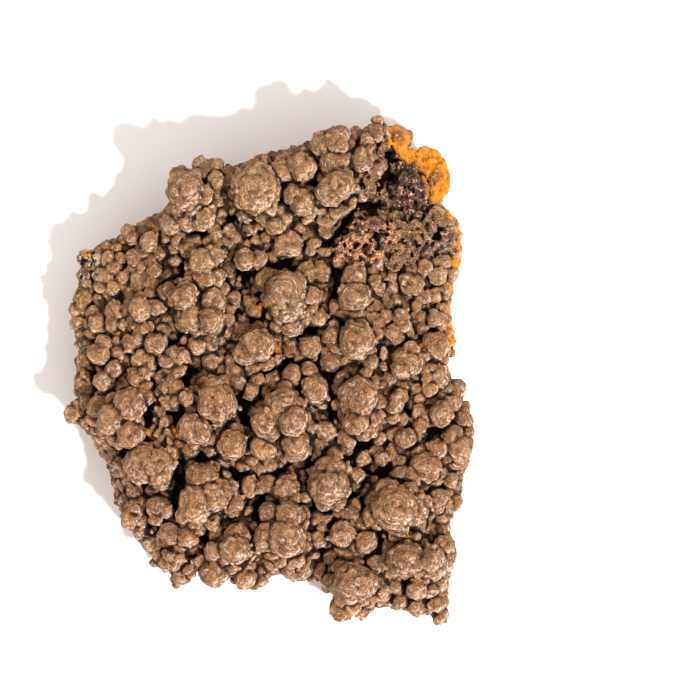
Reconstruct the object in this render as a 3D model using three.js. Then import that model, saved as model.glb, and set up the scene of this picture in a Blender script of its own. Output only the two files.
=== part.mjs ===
// A hand specimen of mottramite: a broken plate of brown rock, rough on its edges and flat enough
// below to lie still, with a crust of round mineral heads grown over its whole upper side. The
// heads and the plate are one body, because the crust grew on the rock and into itself.
// Millimetres, +Z up. The origin is the middle of the specimen, at the height of the table.

import * as THREE from 'three';

// The whole specimen.
const LENGTH = 77.9;
const WIDTH = 63.1;
const THICKNESS = 22.6;

// The floor of the crust, which the heads stand on: in the middle, and where it meets the edge.
const CRUST_FLOOR = 15;
const EDGE_FLOOR = 9.8;
const EDGE_SLOPE = 6;
const FLOOR_ROUGHNESS = 0.5;

// The heads: how much taller than wide each ball is, and how steeply its stem spreads below.
const HEAD_STRETCH = 1.1;
const STEM_SLOPE = 3.2;

// The surface is laid in rings, each a smaller copy of the outline. Points and rings of the crust
// lie this far apart, and points of the broken side this far.
const SURFACE_STEP = 1.09;
const SIDE_STEP = 3.4;
const LEAST_POINTS = 6;

// The broken side, from the foot up: share of the outline, height, and how uneven its lines are.
const SIDE_ROUGHNESS = 0.9;
const SIDE_RINGS = [[0.84, 0], [0.925, 1], [0.955, 4.2], [0.972, 7.4]];

// The rim takes its height from the edge of the plate and from the crust this share of the way out.
const INSIDE_SHARE = 0.965;

// The outline seen from above, clockwise from the upper left corner.
const OUTLINE = [
  [-15, 25.2], [-15, 29], [-13, 30.8], [-11.9, 31.3], [-10.2, 32.2], [-7.2, 31.9], [-7.1, 30.6],
  [-4, 31.5], [-0.5, 32.8], [3.5, 34.2], [6.6, 34.7], [9, 36.1], [10.4, 36.7], [11.5, 36.4],
  [12.3, 35.4], [13.2, 36.6], [15.5, 36.9], [16.4, 38.5], [17, 38.8], [17.7, 38.7], [17.9, 37.5],
  [20.2, 36.6], [21.6, 34.8], [21.9, 33.5], [25.7, 33.7], [27.2, 31.8], [27.7, 28], [26.9, 25],
  [28.7, 23.6], [29.7, 20.5], [30.1, 18.5], [29.6, 14.4], [28.8, 14.2], [28.1, 9.8], [28.4, 8.6],
  [28.2, 7], [28.5, 3.5], [27.3, 0.8], [26.4, 0.6], [27.3, -0.3], [28.1, -1.5], [29.3, -1.7],
  [30.5, -3.2], [30, -4.4], [31.1, -6], [31.5, -7.2], [31.5, -12.7], [31, -15.1], [30.1, -15.8],
  [29.7, -18.8], [30, -19.8], [28.7, -22], [27.9, -24], [29.1, -28], [27.8, -32], [28, -38],
  [27.2, -39.1], [26, -38.9], [25.2, -37.9], [22.5, -38], [21.4, -37.3], [17.2, -36.6],
  [14.9, -38], [13, -37.9], [11.7, -38.6], [10.5, -38], [9.6, -35.5], [9.1, -34.2], [8.4, -32.4],
  [6, -32.2], [4.5, -32.7], [2.3, -31.6], [0, -32], [-1.5, -33.3], [-4.3, -33.6], [-6.2, -32],
  [-8, -32.8], [-10.1, -31.9], [-10.9, -30.9], [-12.3, -32.6], [-14.3, -33.7], [-15.2, -32.8],
  [-15, -31.6], [-17, -30.5], [-18.6, -28], [-21, -25.9], [-22.3, -24.2], [-22.8, -21.8],
  [-24.2, -20.6], [-24.7, -17], [-25.4, -14.6], [-27, -11.7], [-29, -9.1], [-31.1, -7.9],
  [-31.5, -7.2], [-31.4, -5.8], [-29.7, -4.4], [-30.3, -1.5], [-29.6, 2.2], [-30.2, 4],
  [-30.2, 6.2], [-31.3, 9], [-30.1, 10.2], [-29.7, 13.2], [-29.6, 15.8], [-28, 18], [-26, 19.6],
  [-24, 20], [-22.6, 21.5], [-21, 21.7], [-18, 23.8], [-16.6, 24.6],
];

// Places where the floor of the crust lies lower or higher: x, y, reach, height added.
const FLOOR_SWELLS = [
  [23, 32, 6, -2.2], [28, 20, 4, -0.8], [18.3, 30.5, 2.4, -4], [14, 20, 4.5, 1.6],
  [-20, 15, 5, -0.8], [-25, -15, 5, -1.4], [-16, -29, 5, -1.6], [1.5, -8, 5, 2.2],
  [-10, -18, 5, 2], [20, -20, 4, 2], [11, 29, 4, 2], [9, -17, 4, 1.6], [13.5, -5, 3.5, 2],
];

// Heads of the crust, by where they stand: x, y, radius, height of the crown.
const HEADS = {
  topRow: [
    [-12.7, 27.2, 2.6, 22], [-9.9, 26.5, 1.5, 20.5], [-8, 28.7, 1.4, 18.5], [-1.9, 27.6, 3.3, 22.5],
    [2.3, 30.2, 1.8, 19.5], [5.3, 30.7, 2, 20], [3.2, 28.9, 1.4, 18], [8.2, 34.3, 1.6, 20.5],
    [10.5, 34.9, 1.9, 21], [10.4, 31.4, 2.2, 20.5], [10.9, 28, 2.2, 22], [9.5, 26.9, 2, 22],
    [3.6, 26.6, 1.5, 20], [5.4, 25.6, 1.9, 20],
  ],
  brokenRidgeRightOfTheTopRow: [
    [14.3, 31.9, 1.7, 20], [15.3, 34.6, 1.4, 19], [16, 32.8, 1.5, 19.5], [16.3, 30.6, 1.4, 19],
  ],
  ochreCorner: [
    [20.2, 35.2, 1.9, 13], [24.6, 31.2, 2.4, 14.5], [25.6, 28.6, 2.3, 14.5], [25.4, 26.6, 1.4, 13.5],
  ],
  darkMound: [
    [21.6, 29.4, 2, 15.5], [20.8, 27.2, 1.8, 15.5], [22.6, 27.2, 1.6, 15.5],
  ],
  granularBlock: [
    [19.6, 22.2, 1.8, 16.5], [18.8, 19.5, 1.8, 17], [22, 23.2, 1.5, 16], [21.6, 18.2, 1.9, 16.5],
    [24.3, 21.4, 1.5, 15.5], [25.8, 23.3, 1.7, 15], [27.5, 22.6, 1.4, 13.5], [16.8, 17, 1.7, 17],
    [19.4, 16.6, 1.4, 16.5], [14.4, 22.4, 1.5, 17.5], [13.6, 20.8, 1.9, 17.5], [11.9, 18.9, 1.4, 17],
    [13.1, 17, 1.6, 17], [15.2, 19, 1.6, 17],
  ],
  rightEdgeUpperHalf: [
    [26.6, 16.4, 1.4, 14.5], [26, 14.4, 1.5, 15], [27.2, 12.4, 1.4, 13.5], [24.2, 11.2, 1.4, 15],
    [22.3, 13.2, 1.7, 16], [19.5, 10.8, 1.4, 14.5],
  ],
  upperLeftPlateau: [
    [-28.6, 11, 1.7, 12], [-27.6, 16.3, 2, 12], [-18.5, 19.4, 1.4, 16], [-19.9, 14, 1.6, 15],
    [-18, 13.4, 1.5, 15],
  ],
  betweenThePlateauAndTheMiddle: [
    [-14.9, 22.2, 1.6, 18], [-12.2, 22.9, 1.7, 18.5], [-10, 23.1, 1.8, 19], [-13.4, 20, 1.7, 16.5],
    [-11.8, 18.9, 1.7, 17], [-10.2, 16.6, 1.8, 20], [-8.8, 17.2, 1.6, 19], [-9.6, 13.7, 1.7, 19],
    [-8, 14.2, 1.4, 18], [-3.6, 16.7, 1.6, 18.5], [-13, 11.1, 2, 21], [-8.2, 10.3, 1.9, 20],
  ],
  upperMiddle: [
    [1.2, 22.4, 1.6, 18], [3.1, 19.3, 1.9, 18], [8.9, 23, 1.5, 18], [6, 14.9, 1.5, 17.5],
    [8.2, 14.9, 1.5, 17.5], [2.6, 11.6, 2.8, 22], [2.9, 10.2, 2.6, 21.5], [0.3, 13.6, 1.8, 19],
    [6.4, 11.1, 1.5, 18], [13.3, 11.3, 2.1, 20], [13.2, 14, 1.8, 19],
  ],
  leftEdgeMiddle: [
    [-26.2, 7, 1.5, 14], [-23.6, 9, 1.4, 15], [-19.8, 9.2, 1.6, 17.5], [-19.3, 6.6, 1.5, 16],
    [-17.4, 3.9, 1.7, 17], [-21.2, 4.2, 1.4, 16], [-23.2, 2.4, 1.4, 15.5], [-26.2, 2.4, 1.5, 16],
    [-19.8, 1.6, 1.4, 16], [-25.4, -1.9, 1.5, 17], [-20.6, -1.2, 1.4, 16], [-21.3, -5.6, 2.3, 21],
    [-24, -7.5, 1.9, 21], [-21, -9.7, 1.9, 20.5], [-23.2, -10.4, 1.5, 18.5], [-26, -5.7, 1.6, 17.5],
  ],
  leftOfTheMiddle: [
    [-11.6, 8.2, 2, 20], [-8.6, 7.6, 2, 20.5], [-11, 4.1, 1.5, 17], [-8.8, 4.7, 1.5, 16.5],
    [-4.4, 5.7, 1.5, 17], [-1.6, 3.7, 2.4, 20], [-3.3, 2.5, 1.7, 19.5], [-0.4, 1.2, 1.4, 17.5],
    [-8.9, 1.2, 1.5, 16.5], [-5.2, -0.2, 1.4, 17.5], [-4.8, -1.9, 1.4, 18], [-14.5, 2, 1.6, 17],
    [-14.8, -0.2, 1.6, 16.5], [-15.5, -2, 1.5, 16.5], [-15.5, -4.9, 1.6, 16.5], [-7.9, -4.8, 2.6, 21.5],
    [-8.2, -2.6, 1.7, 20.5],
  ],
  middle: [
    [3.6, 6.6, 1.7, 17.5], [6.6, 3.6, 1.7, 17.5], [3.6, 3.3, 1.5, 16.5], [13.6, 4.4, 2.5, 21],
    [10.1, 5, 1.5, 18.5], [9.8, 1.4, 1.6, 17.5], [15.5, 1.3, 1.4, 18], [11.8, 8.6, 1.5, 16.5],
    [0.8, -1.9, 1.6, 18], [3.9, -0.9, 1.5, 18], [7.3, -3.1, 1.9, 19.5], [2.3, -5.3, 2.5, 22],
    [3.9, -7.7, 1.9, 22.5], [0, -8, 2.4, 22], [-0.6, -11.7, 1.9, 20.5], [4.2, -10.9, 2, 20.5],
    [4.5, -12.2, 1.7, 19], [13.8, -4.2, 2.7, 22.5], [13.5, -7.9, 1.9, 21.5],
  ],
  rightOfTheMiddle: [
    [19.2, 5.6, 1.4, 17], [21.6, 1.2, 2.1, 19], [20.6, 0.2, 1.4, 19], [26.1, 3.7, 1.8, 17.5],
    [26.4, -1.1, 1.6, 16], [29.2, -3.2, 1.4, 13.5], [19.3, -5, 1.5, 17.5], [26.9, -6.8, 1.6, 18],
  ],
  leftEdgeLowerHalf: [
    [-20.6, -18.6, 1.4, 14.5], [-19.2, -14.2, 2.6, 20.5], [-17, -14.8, 2.4, 20.5],
    [-16.4, -16.7, 1.4, 18.5], [-20.6, -21.3, 1.5, 15.5], [-21.4, -22.9, 1.4, 15.5],
    [-17, -20.9, 1.6, 17.5],
  ],
  lowerLeft: [
    [-11.8, -8.7, 2.1, 20.5], [-10.8, -9.2, 2, 20.5], [-7.8, -7.6, 1.5, 18.5],
    [-12.5, -12.3, 1.4, 16.5], [-5.5, -11.2, 2, 19.5], [-10.2, -16.5, 2.3, 20.5],
    [-10.9, -20.2, 2.5, 21.5], [-8.6, -19.4, 2.2, 21], [-7.6, -18.5, 1.9, 20], [-5.6, -20.2, 1.5, 18],
    [-3, -17.9, 1.4, 17.5], [-11, -23.6, 1.5, 17.5],
  ],
  lowerMiddle: [
    [8.6, -9.4, 1.7, 18], [11.9, -10.6, 1.5, 17.5], [9.2, -17.3, 2.9, 22.5], [9.6, -15.3, 2.1, 21.5],
    [8.6, -19.9, 1.5, 19.5], [2.7, -18, 2, 18.5], [0, -17.4, 1.5, 17.5], [13.3, -16.2, 1.4, 17],
    [3.3, -22.2, 2.1, 21.5], [3, -25.3, 2.7, 22], [0.2, -22, 1.6, 19.5], [-0.1, -25.3, 1.9, 20.5],
    [12.4, -22.3, 1.6, 17.5], [11.6, -24.9, 1.8, 18.5],
  ],
  lowerRight: [
    [21.2, -10.4, 1.5, 17], [29.6, -12, 1.9, 17], [28.4, -10.3, 1.6, 16.5], [26.2, -12.2, 1.5, 17],
    [24.3, -14.9, 2, 17.5], [20.6, -15.9, 1.4, 17], [26.1, -20, 1.7, 16], [19.5, -20.9, 3, 22.5],
    [22, -21.2, 2.2, 20.5], [18.5, -18.3, 1.8, 20.5], [21.5, -18.7, 1.5, 19.5], [15.9, -22.1, 1.4, 18],
  ],
  bottomRow: [
    [-15.2, -24.9, 1.7, 17.5], [-12.5, -25.5, 1.6, 17.5], [-8.3, -27.6, 1.5, 18],
    [-5.2, -27.2, 2.2, 20.5], [-4.8, -25.4, 1.9, 19.5], [-8.3, -30.7, 2.1, 17],
    [-3.6, -31.6, 1.8, 15.5], [7.6, -25.6, 1.4, 17.5], [12.6, -32.4, 2.6, 20.5],
    [14.4, -32.4, 2.3, 20.5], [11.6, -36.5, 1.8, 15.5], [15.2, -26.3, 1.6, 18], [16.7, -29.7, 1.4, 17],
    [21.3, -28.7, 2.4, 20.5], [25.2, -28.8, 2.1, 20.5], [25.6, -29.6, 2, 19.5], [27, -27, 1.6, 17.5],
    [23, -33.6, 1.6, 17.5],
  ],
};

const headList = Object.values(HEADS).flat();

const outlinePath = new THREE.Path(OUTLINE.map(([x, y]) => new THREE.Vector2(x, y)));
outlinePath.closePath();

// A steady value between -1 and 1 for any place.
function unevenness(x, y) {
  return Math.sin(x * 1.31 + y * 0.77) * Math.cos(y * 1.13 - x * 0.59);
}

// Distance from a place on the plate to the nearest side of its outline.
function distanceToEdge(x, y) {
  const place = new THREE.Vector3(x, y, 0);
  const nearest = new THREE.Vector3();
  const start = new THREE.Vector3();
  const end = new THREE.Vector3();
  const side = new THREE.Line3(start, end);
  let distance = Infinity;
  OUTLINE.forEach(([startX, startY], index) => {
    const [endX, endY] = OUTLINE[(index + 1) % OUTLINE.length];
    start.set(startX, startY, 0);
    end.set(endX, endY, 0);
    side.closestPointToPoint(place, true, nearest);
    distance = Math.min(distance, place.distanceTo(nearest));
  });
  return distance;
}

// Height of the floor between the heads.
function floorHeight(x, y) {
  const inward = THREE.MathUtils.smoothstep(distanceToEdge(x, y), 0, EDGE_SLOPE);
  let height = THREE.MathUtils.lerp(EDGE_FLOOR, CRUST_FLOOR, inward);
  for (const [swellX, swellY, reach, added] of FLOOR_SWELLS) {
    const away = Math.hypot(x - swellX, y - swellY) / reach;
    height += added * Math.exp(-away * away);
  }
  return height + FLOOR_ROUGHNESS * unevenness(x, y);
}

// Height of the crust: the highest of the floor and the heads that cover the place.
function crustHeight(x, y) {
  let height = floorHeight(x, y);
  for (const [headX, headY, radius, crown] of headList) {
    const away = Math.hypot(x - headX, y - headY);
    const onBall = Math.min(away / radius, 1);
    const drop = HEAD_STRETCH * radius * (1 - Math.sqrt(1 - onBall * onBall));
    const stemDrop = STEM_SLOPE * Math.max(away - radius, 0);
    height = Math.max(height, crown - drop - stemDrop);
  }
  return height;
}

// Height of the rim: halfway between the plate's edge and the heads just inside it.
function rimHeight(x, y) {
  return (EDGE_FLOOR + crustHeight(x * INSIDE_SHARE, y * INSIDE_SHARE)) / 2;
}

// One ring of points: a copy of the outline, smaller by a share, with heights from a rule.
// Every other ring starts half a step further round, so that the triangles come out even.
function ringOf(order, share, step, heightOf) {
  const count = Math.max(LEAST_POINTS, Math.round((outlinePath.getLength() * share) / step));
  const shift = (order % 2) / 2;
  return Array.from({ length: count }, (unused, index) => {
    const along = (index + shift) / count;
    const place = outlinePath.getPoint(along).multiplyScalar(share);
    return { along, point: [place.x, place.y, heightOf(place.x, place.y)] };
  });
}

// Rings from the foot, up the side, over the rim and inwards across the crust.
function specimenRings() {
  const rings = SIDE_RINGS.map(([share, height], order) => {
    return ringOf(order, share, SIDE_STEP, (x, y) => {
      const rough = order === 0 ? 0 : SIDE_ROUGHNESS * unevenness(x + 9 * order, y);
      return height + rough;
    });
  });
  rings.push(ringOf(rings.length, 1, SURFACE_STEP, rimHeight));
  const reach = outlinePath.getLength() / (2 * Math.PI);
  const inwards = Math.floor(reach / SURFACE_STEP);
  for (let ring = 1; ring < inwards; ring += 1) {
    rings.push(ringOf(rings.length, 1 - ring / inwards, SURFACE_STEP, crustHeight));
  }
  return rings;
}

// Triangles between two neighbouring rings, walking round both at once.
function joinRings(indices, lower, lowerStart, upper, upperStart) {
  const lowerAt = (index) => lowerStart + (index % lower.length);
  const upperAt = (index) => upperStart + (index % upper.length);
  const reachOf = (ring, index) => {
    return ring[index % ring.length].along + Math.floor(index / ring.length);
  };
  let low = 0;
  let high = 0;
  while (low < lower.length || high < upper.length) {
    const lowerNext = low < lower.length ? reachOf(lower, low + 1) : Infinity;
    const upperNext = high < upper.length ? reachOf(upper, high + 1) : Infinity;
    if (lowerNext <= upperNext) {
      indices.push(lowerAt(low), upperAt(high), lowerAt(low + 1));
      low += 1;
    } else {
      indices.push(lowerAt(low), upperAt(high), upperAt(high + 1));
      high += 1;
    }
  }
}

// The whole surface, closed below by the flat foot and above by the middle of the crust.
function specimenGeometry() {
  const rings = specimenRings();
  const points = [[0, 0, 0], ...rings.flat().map(({ point }) => point)];
  points.push([0, 0, crustHeight(0, 0)]);
  const indices = [];
  let start = 1;
  rings[0].forEach((unused, index) => {
    indices.push(0, start + index, start + ((index + 1) % rings[0].length));
  });
  for (let ring = 0; ring < rings.length - 1; ring += 1) {
    const next = start + rings[ring].length;
    joinRings(indices, rings[ring], start, rings[ring + 1], next);
    start = next;
  }
  const inner = rings[rings.length - 1];
  inner.forEach((unused, index) => {
    indices.push(start + index, points.length - 1, start + ((index + 1) % inner.length));
  });
  const geometry = new THREE.BufferGeometry();
  geometry.setAttribute('position', new THREE.Float32BufferAttribute(points.flat(), 3));
  geometry.setIndex(indices);
  return geometry;
}

// Brings the surface to the stated size, with the origin below its middle.
function fitToSize(geometry) {
  geometry.computeBoundingBox();
  const size = geometry.boundingBox.getSize(new THREE.Vector3());
  const middle = geometry.boundingBox.getCenter(new THREE.Vector3());
  geometry.translate(-middle.x, -middle.y, -geometry.boundingBox.min.z);
  geometry.scale(WIDTH / size.x, LENGTH / size.y, THICKNESS / size.z);
  geometry.computeVertexNormals();
}

const surface = specimenGeometry();
fitToSize(surface);

const crustMaterial = new THREE.MeshStandardMaterial({
  color: 0x94694a,
  roughness: 0.78,
  metalness: 0,
  flatShading: true,
});

const specimen = new THREE.Mesh(surface, crustMaterial);
specimen.name = 'mottramite';

const group = new THREE.Group();
group.add(specimen);

export default group;
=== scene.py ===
import math

import bpy
import numpy as np
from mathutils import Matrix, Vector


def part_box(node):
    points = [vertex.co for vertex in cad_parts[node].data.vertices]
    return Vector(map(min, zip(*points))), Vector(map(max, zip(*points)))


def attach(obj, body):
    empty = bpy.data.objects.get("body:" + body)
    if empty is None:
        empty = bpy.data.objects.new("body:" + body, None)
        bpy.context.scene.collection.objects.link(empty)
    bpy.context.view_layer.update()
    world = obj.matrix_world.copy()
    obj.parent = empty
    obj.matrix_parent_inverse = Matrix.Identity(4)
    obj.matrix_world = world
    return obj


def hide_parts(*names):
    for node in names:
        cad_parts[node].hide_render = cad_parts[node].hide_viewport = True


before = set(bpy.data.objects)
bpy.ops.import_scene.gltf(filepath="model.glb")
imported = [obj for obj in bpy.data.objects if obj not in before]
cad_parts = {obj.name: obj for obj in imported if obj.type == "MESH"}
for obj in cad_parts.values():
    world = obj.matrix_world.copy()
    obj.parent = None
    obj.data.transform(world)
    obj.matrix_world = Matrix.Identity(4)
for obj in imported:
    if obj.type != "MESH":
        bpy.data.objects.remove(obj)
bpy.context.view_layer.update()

import openvdb
from mathutils import Vector

# A hand specimen of mottramite: round brown heads grown as one crust over a broken plate of ochre
# and dark brown matrix. Shapes are worked out in millimetres as distances on a grid of points, and
# turned into five meshes in metres: the matrix, and the crust in four quarters.

node_low, node_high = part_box("mottramite")
MM = 0.001

# The grid, and the most triangles that a mesh may have. The crust is split where y is 0 and where x
# is CRUST_MIDDLE_X.
STEP = 0.24
GRID_LOW = (-33.0, -41.0, -1.6)
GRID_HIGH = (33.0, 41.0, 24.6)
FAR = 4.0
MATRIX_TRIANGLES = 110000
CRUST_TRIANGLES = 150000
CRUST_MIDDLE_X = -1.0

# Heights of the plate: its floor under the heads and at the edge, how far in the floor slopes up,
# and the bottom of the deep gaps.
CRUST_FLOOR = 12.6
EDGE_FLOOR = 9.0
EDGE_SLOPE = 5.0
CREVICE_FLOOR = 7.5

# Where the outline of the specimen runs, seen from above, clockwise from the upper left corner.
OUTLINE = [
    (-15, 25.2), (-15, 29), (-13, 30.8), (-12, 30.5), (-11.9, 31.3), (-10.2, 32.2), (-7.2, 31.9),
    (-7.1, 30.6), (-5, 31.2), (-2.4, 32.2), (-0.5, 32.8), (2, 33.6), (3.5, 34.2), (6.6, 34.7),
    (7.2, 35.2), (9, 36.1), (10.4, 36.7), (11.5, 36.4), (12.3, 35.3), (12.5, 36), (13.2, 36.6),
    (15.5, 36.9), (16.1, 37.3), (16.4, 38.5), (17, 38.8), (17.7, 38.7), (17.9, 37.5), (19, 37.2),
    (20.2, 36.6), (21, 35.6), (21.6, 34.8), (21.9, 33.5), (23, 33.7), (25.7, 33.7), (26.6, 33),
    (27.2, 31.8), (27.6, 30.5), (27.7, 28), (27.9, 27.3), (26.9, 25), (28, 24.4), (28.7, 23.6),
    (29.3, 22.2), (29.7, 20.5), (30.1, 18.5), (29.9, 16), (29.6, 14.4), (28.8, 14.2), (28.6, 12),
    (28.1, 9.8), (28.4, 8.6), (28.2, 7), (28.6, 5.6), (28.5, 2.6), (27.3, 0.8), (26.4, 0.6),
    (27.3, -0.3), (28.1, -1.5), (29.3, -1.7), (30.2, -2.3), (30.5, -3.2), (30, -4.4), (30.5, -5.2),
    (31.1, -6), (31.5, -7.2), (31.4, -9.5), (31.6, -11), (31.5, -12.7), (31, -13.5), (31, -15.1),
    (30.1, -15.8), (29.7, -18.8), (30, -19.8), (29.4, -21), (28.7, -22), (27.9, -24), (28.6, -26.5),
    (29.1, -28), (28.3, -30), (27.8, -32), (27.8, -36), (28, -38), (27.2, -39.1), (26, -38.9),
    (25.2, -37.9), (22.5, -38), (21.4, -37.3), (19.5, -36.9), (17.2, -36.6), (15.8, -37.1),
    (14.9, -38), (13, -37.9), (11.7, -38.6), (10.5, -38), (9.9, -35.5), (9.8, -34.2), (9, -33.6),
    (8, -32), (6, -32.2), (4.5, -32.7), (3.3, -32.3), (2.3, -31.6), (1, -31.7), (0, -32),
    (-0.5, -33.1), (-2.3, -33.6), (-4.3, -33.6), (-5.3, -32.9), (-6.2, -32), (-8, -32.8),
    (-9.2, -32.6), (-10.1, -31.9), (-10.5, -30.8), (-10.9, -30.9), (-12.2, -32), (-12.3, -32.6),
    (-13, -33.4), (-14.3, -33.7), (-15.2, -32.8), (-15, -31.6), (-17, -30.5), (-18, -30),
    (-18.6, -28), (-20, -27.1), (-21, -25.9), (-21.3, -24.9), (-22.3, -24.2), (-22.8, -23.2),
    (-22.8, -21.8), (-24.2, -20.6), (-24.3, -18.6), (-25.4, -14.6), (-27, -11.7), (-28, -9.9),
    (-29, -9.1), (-31.1, -7.9), (-31.5, -7.2), (-31.4, -5.8), (-30.6, -4.9), (-29.7, -4.4),
    (-30.1, -2.8), (-30.3, -1.5), (-29.8, -0.5), (-29.6, 2.2), (-30.2, 4), (-30.2, 6.2), (-30.8, 7),
    (-31.3, 9), (-31, 9.8), (-30.1, 10.2), (-30.1, 12), (-29.7, 13.2), (-29.9, 14), (-29.6, 15.8),
    (-29, 17), (-27, 19), (-26, 19.6), (-24, 20), (-22.8, 20.8), (-22, 22), (-21, 21.7),
    (-18, 23.8), (-17, 24.1), (-16.6, 24.6),
]

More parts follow.
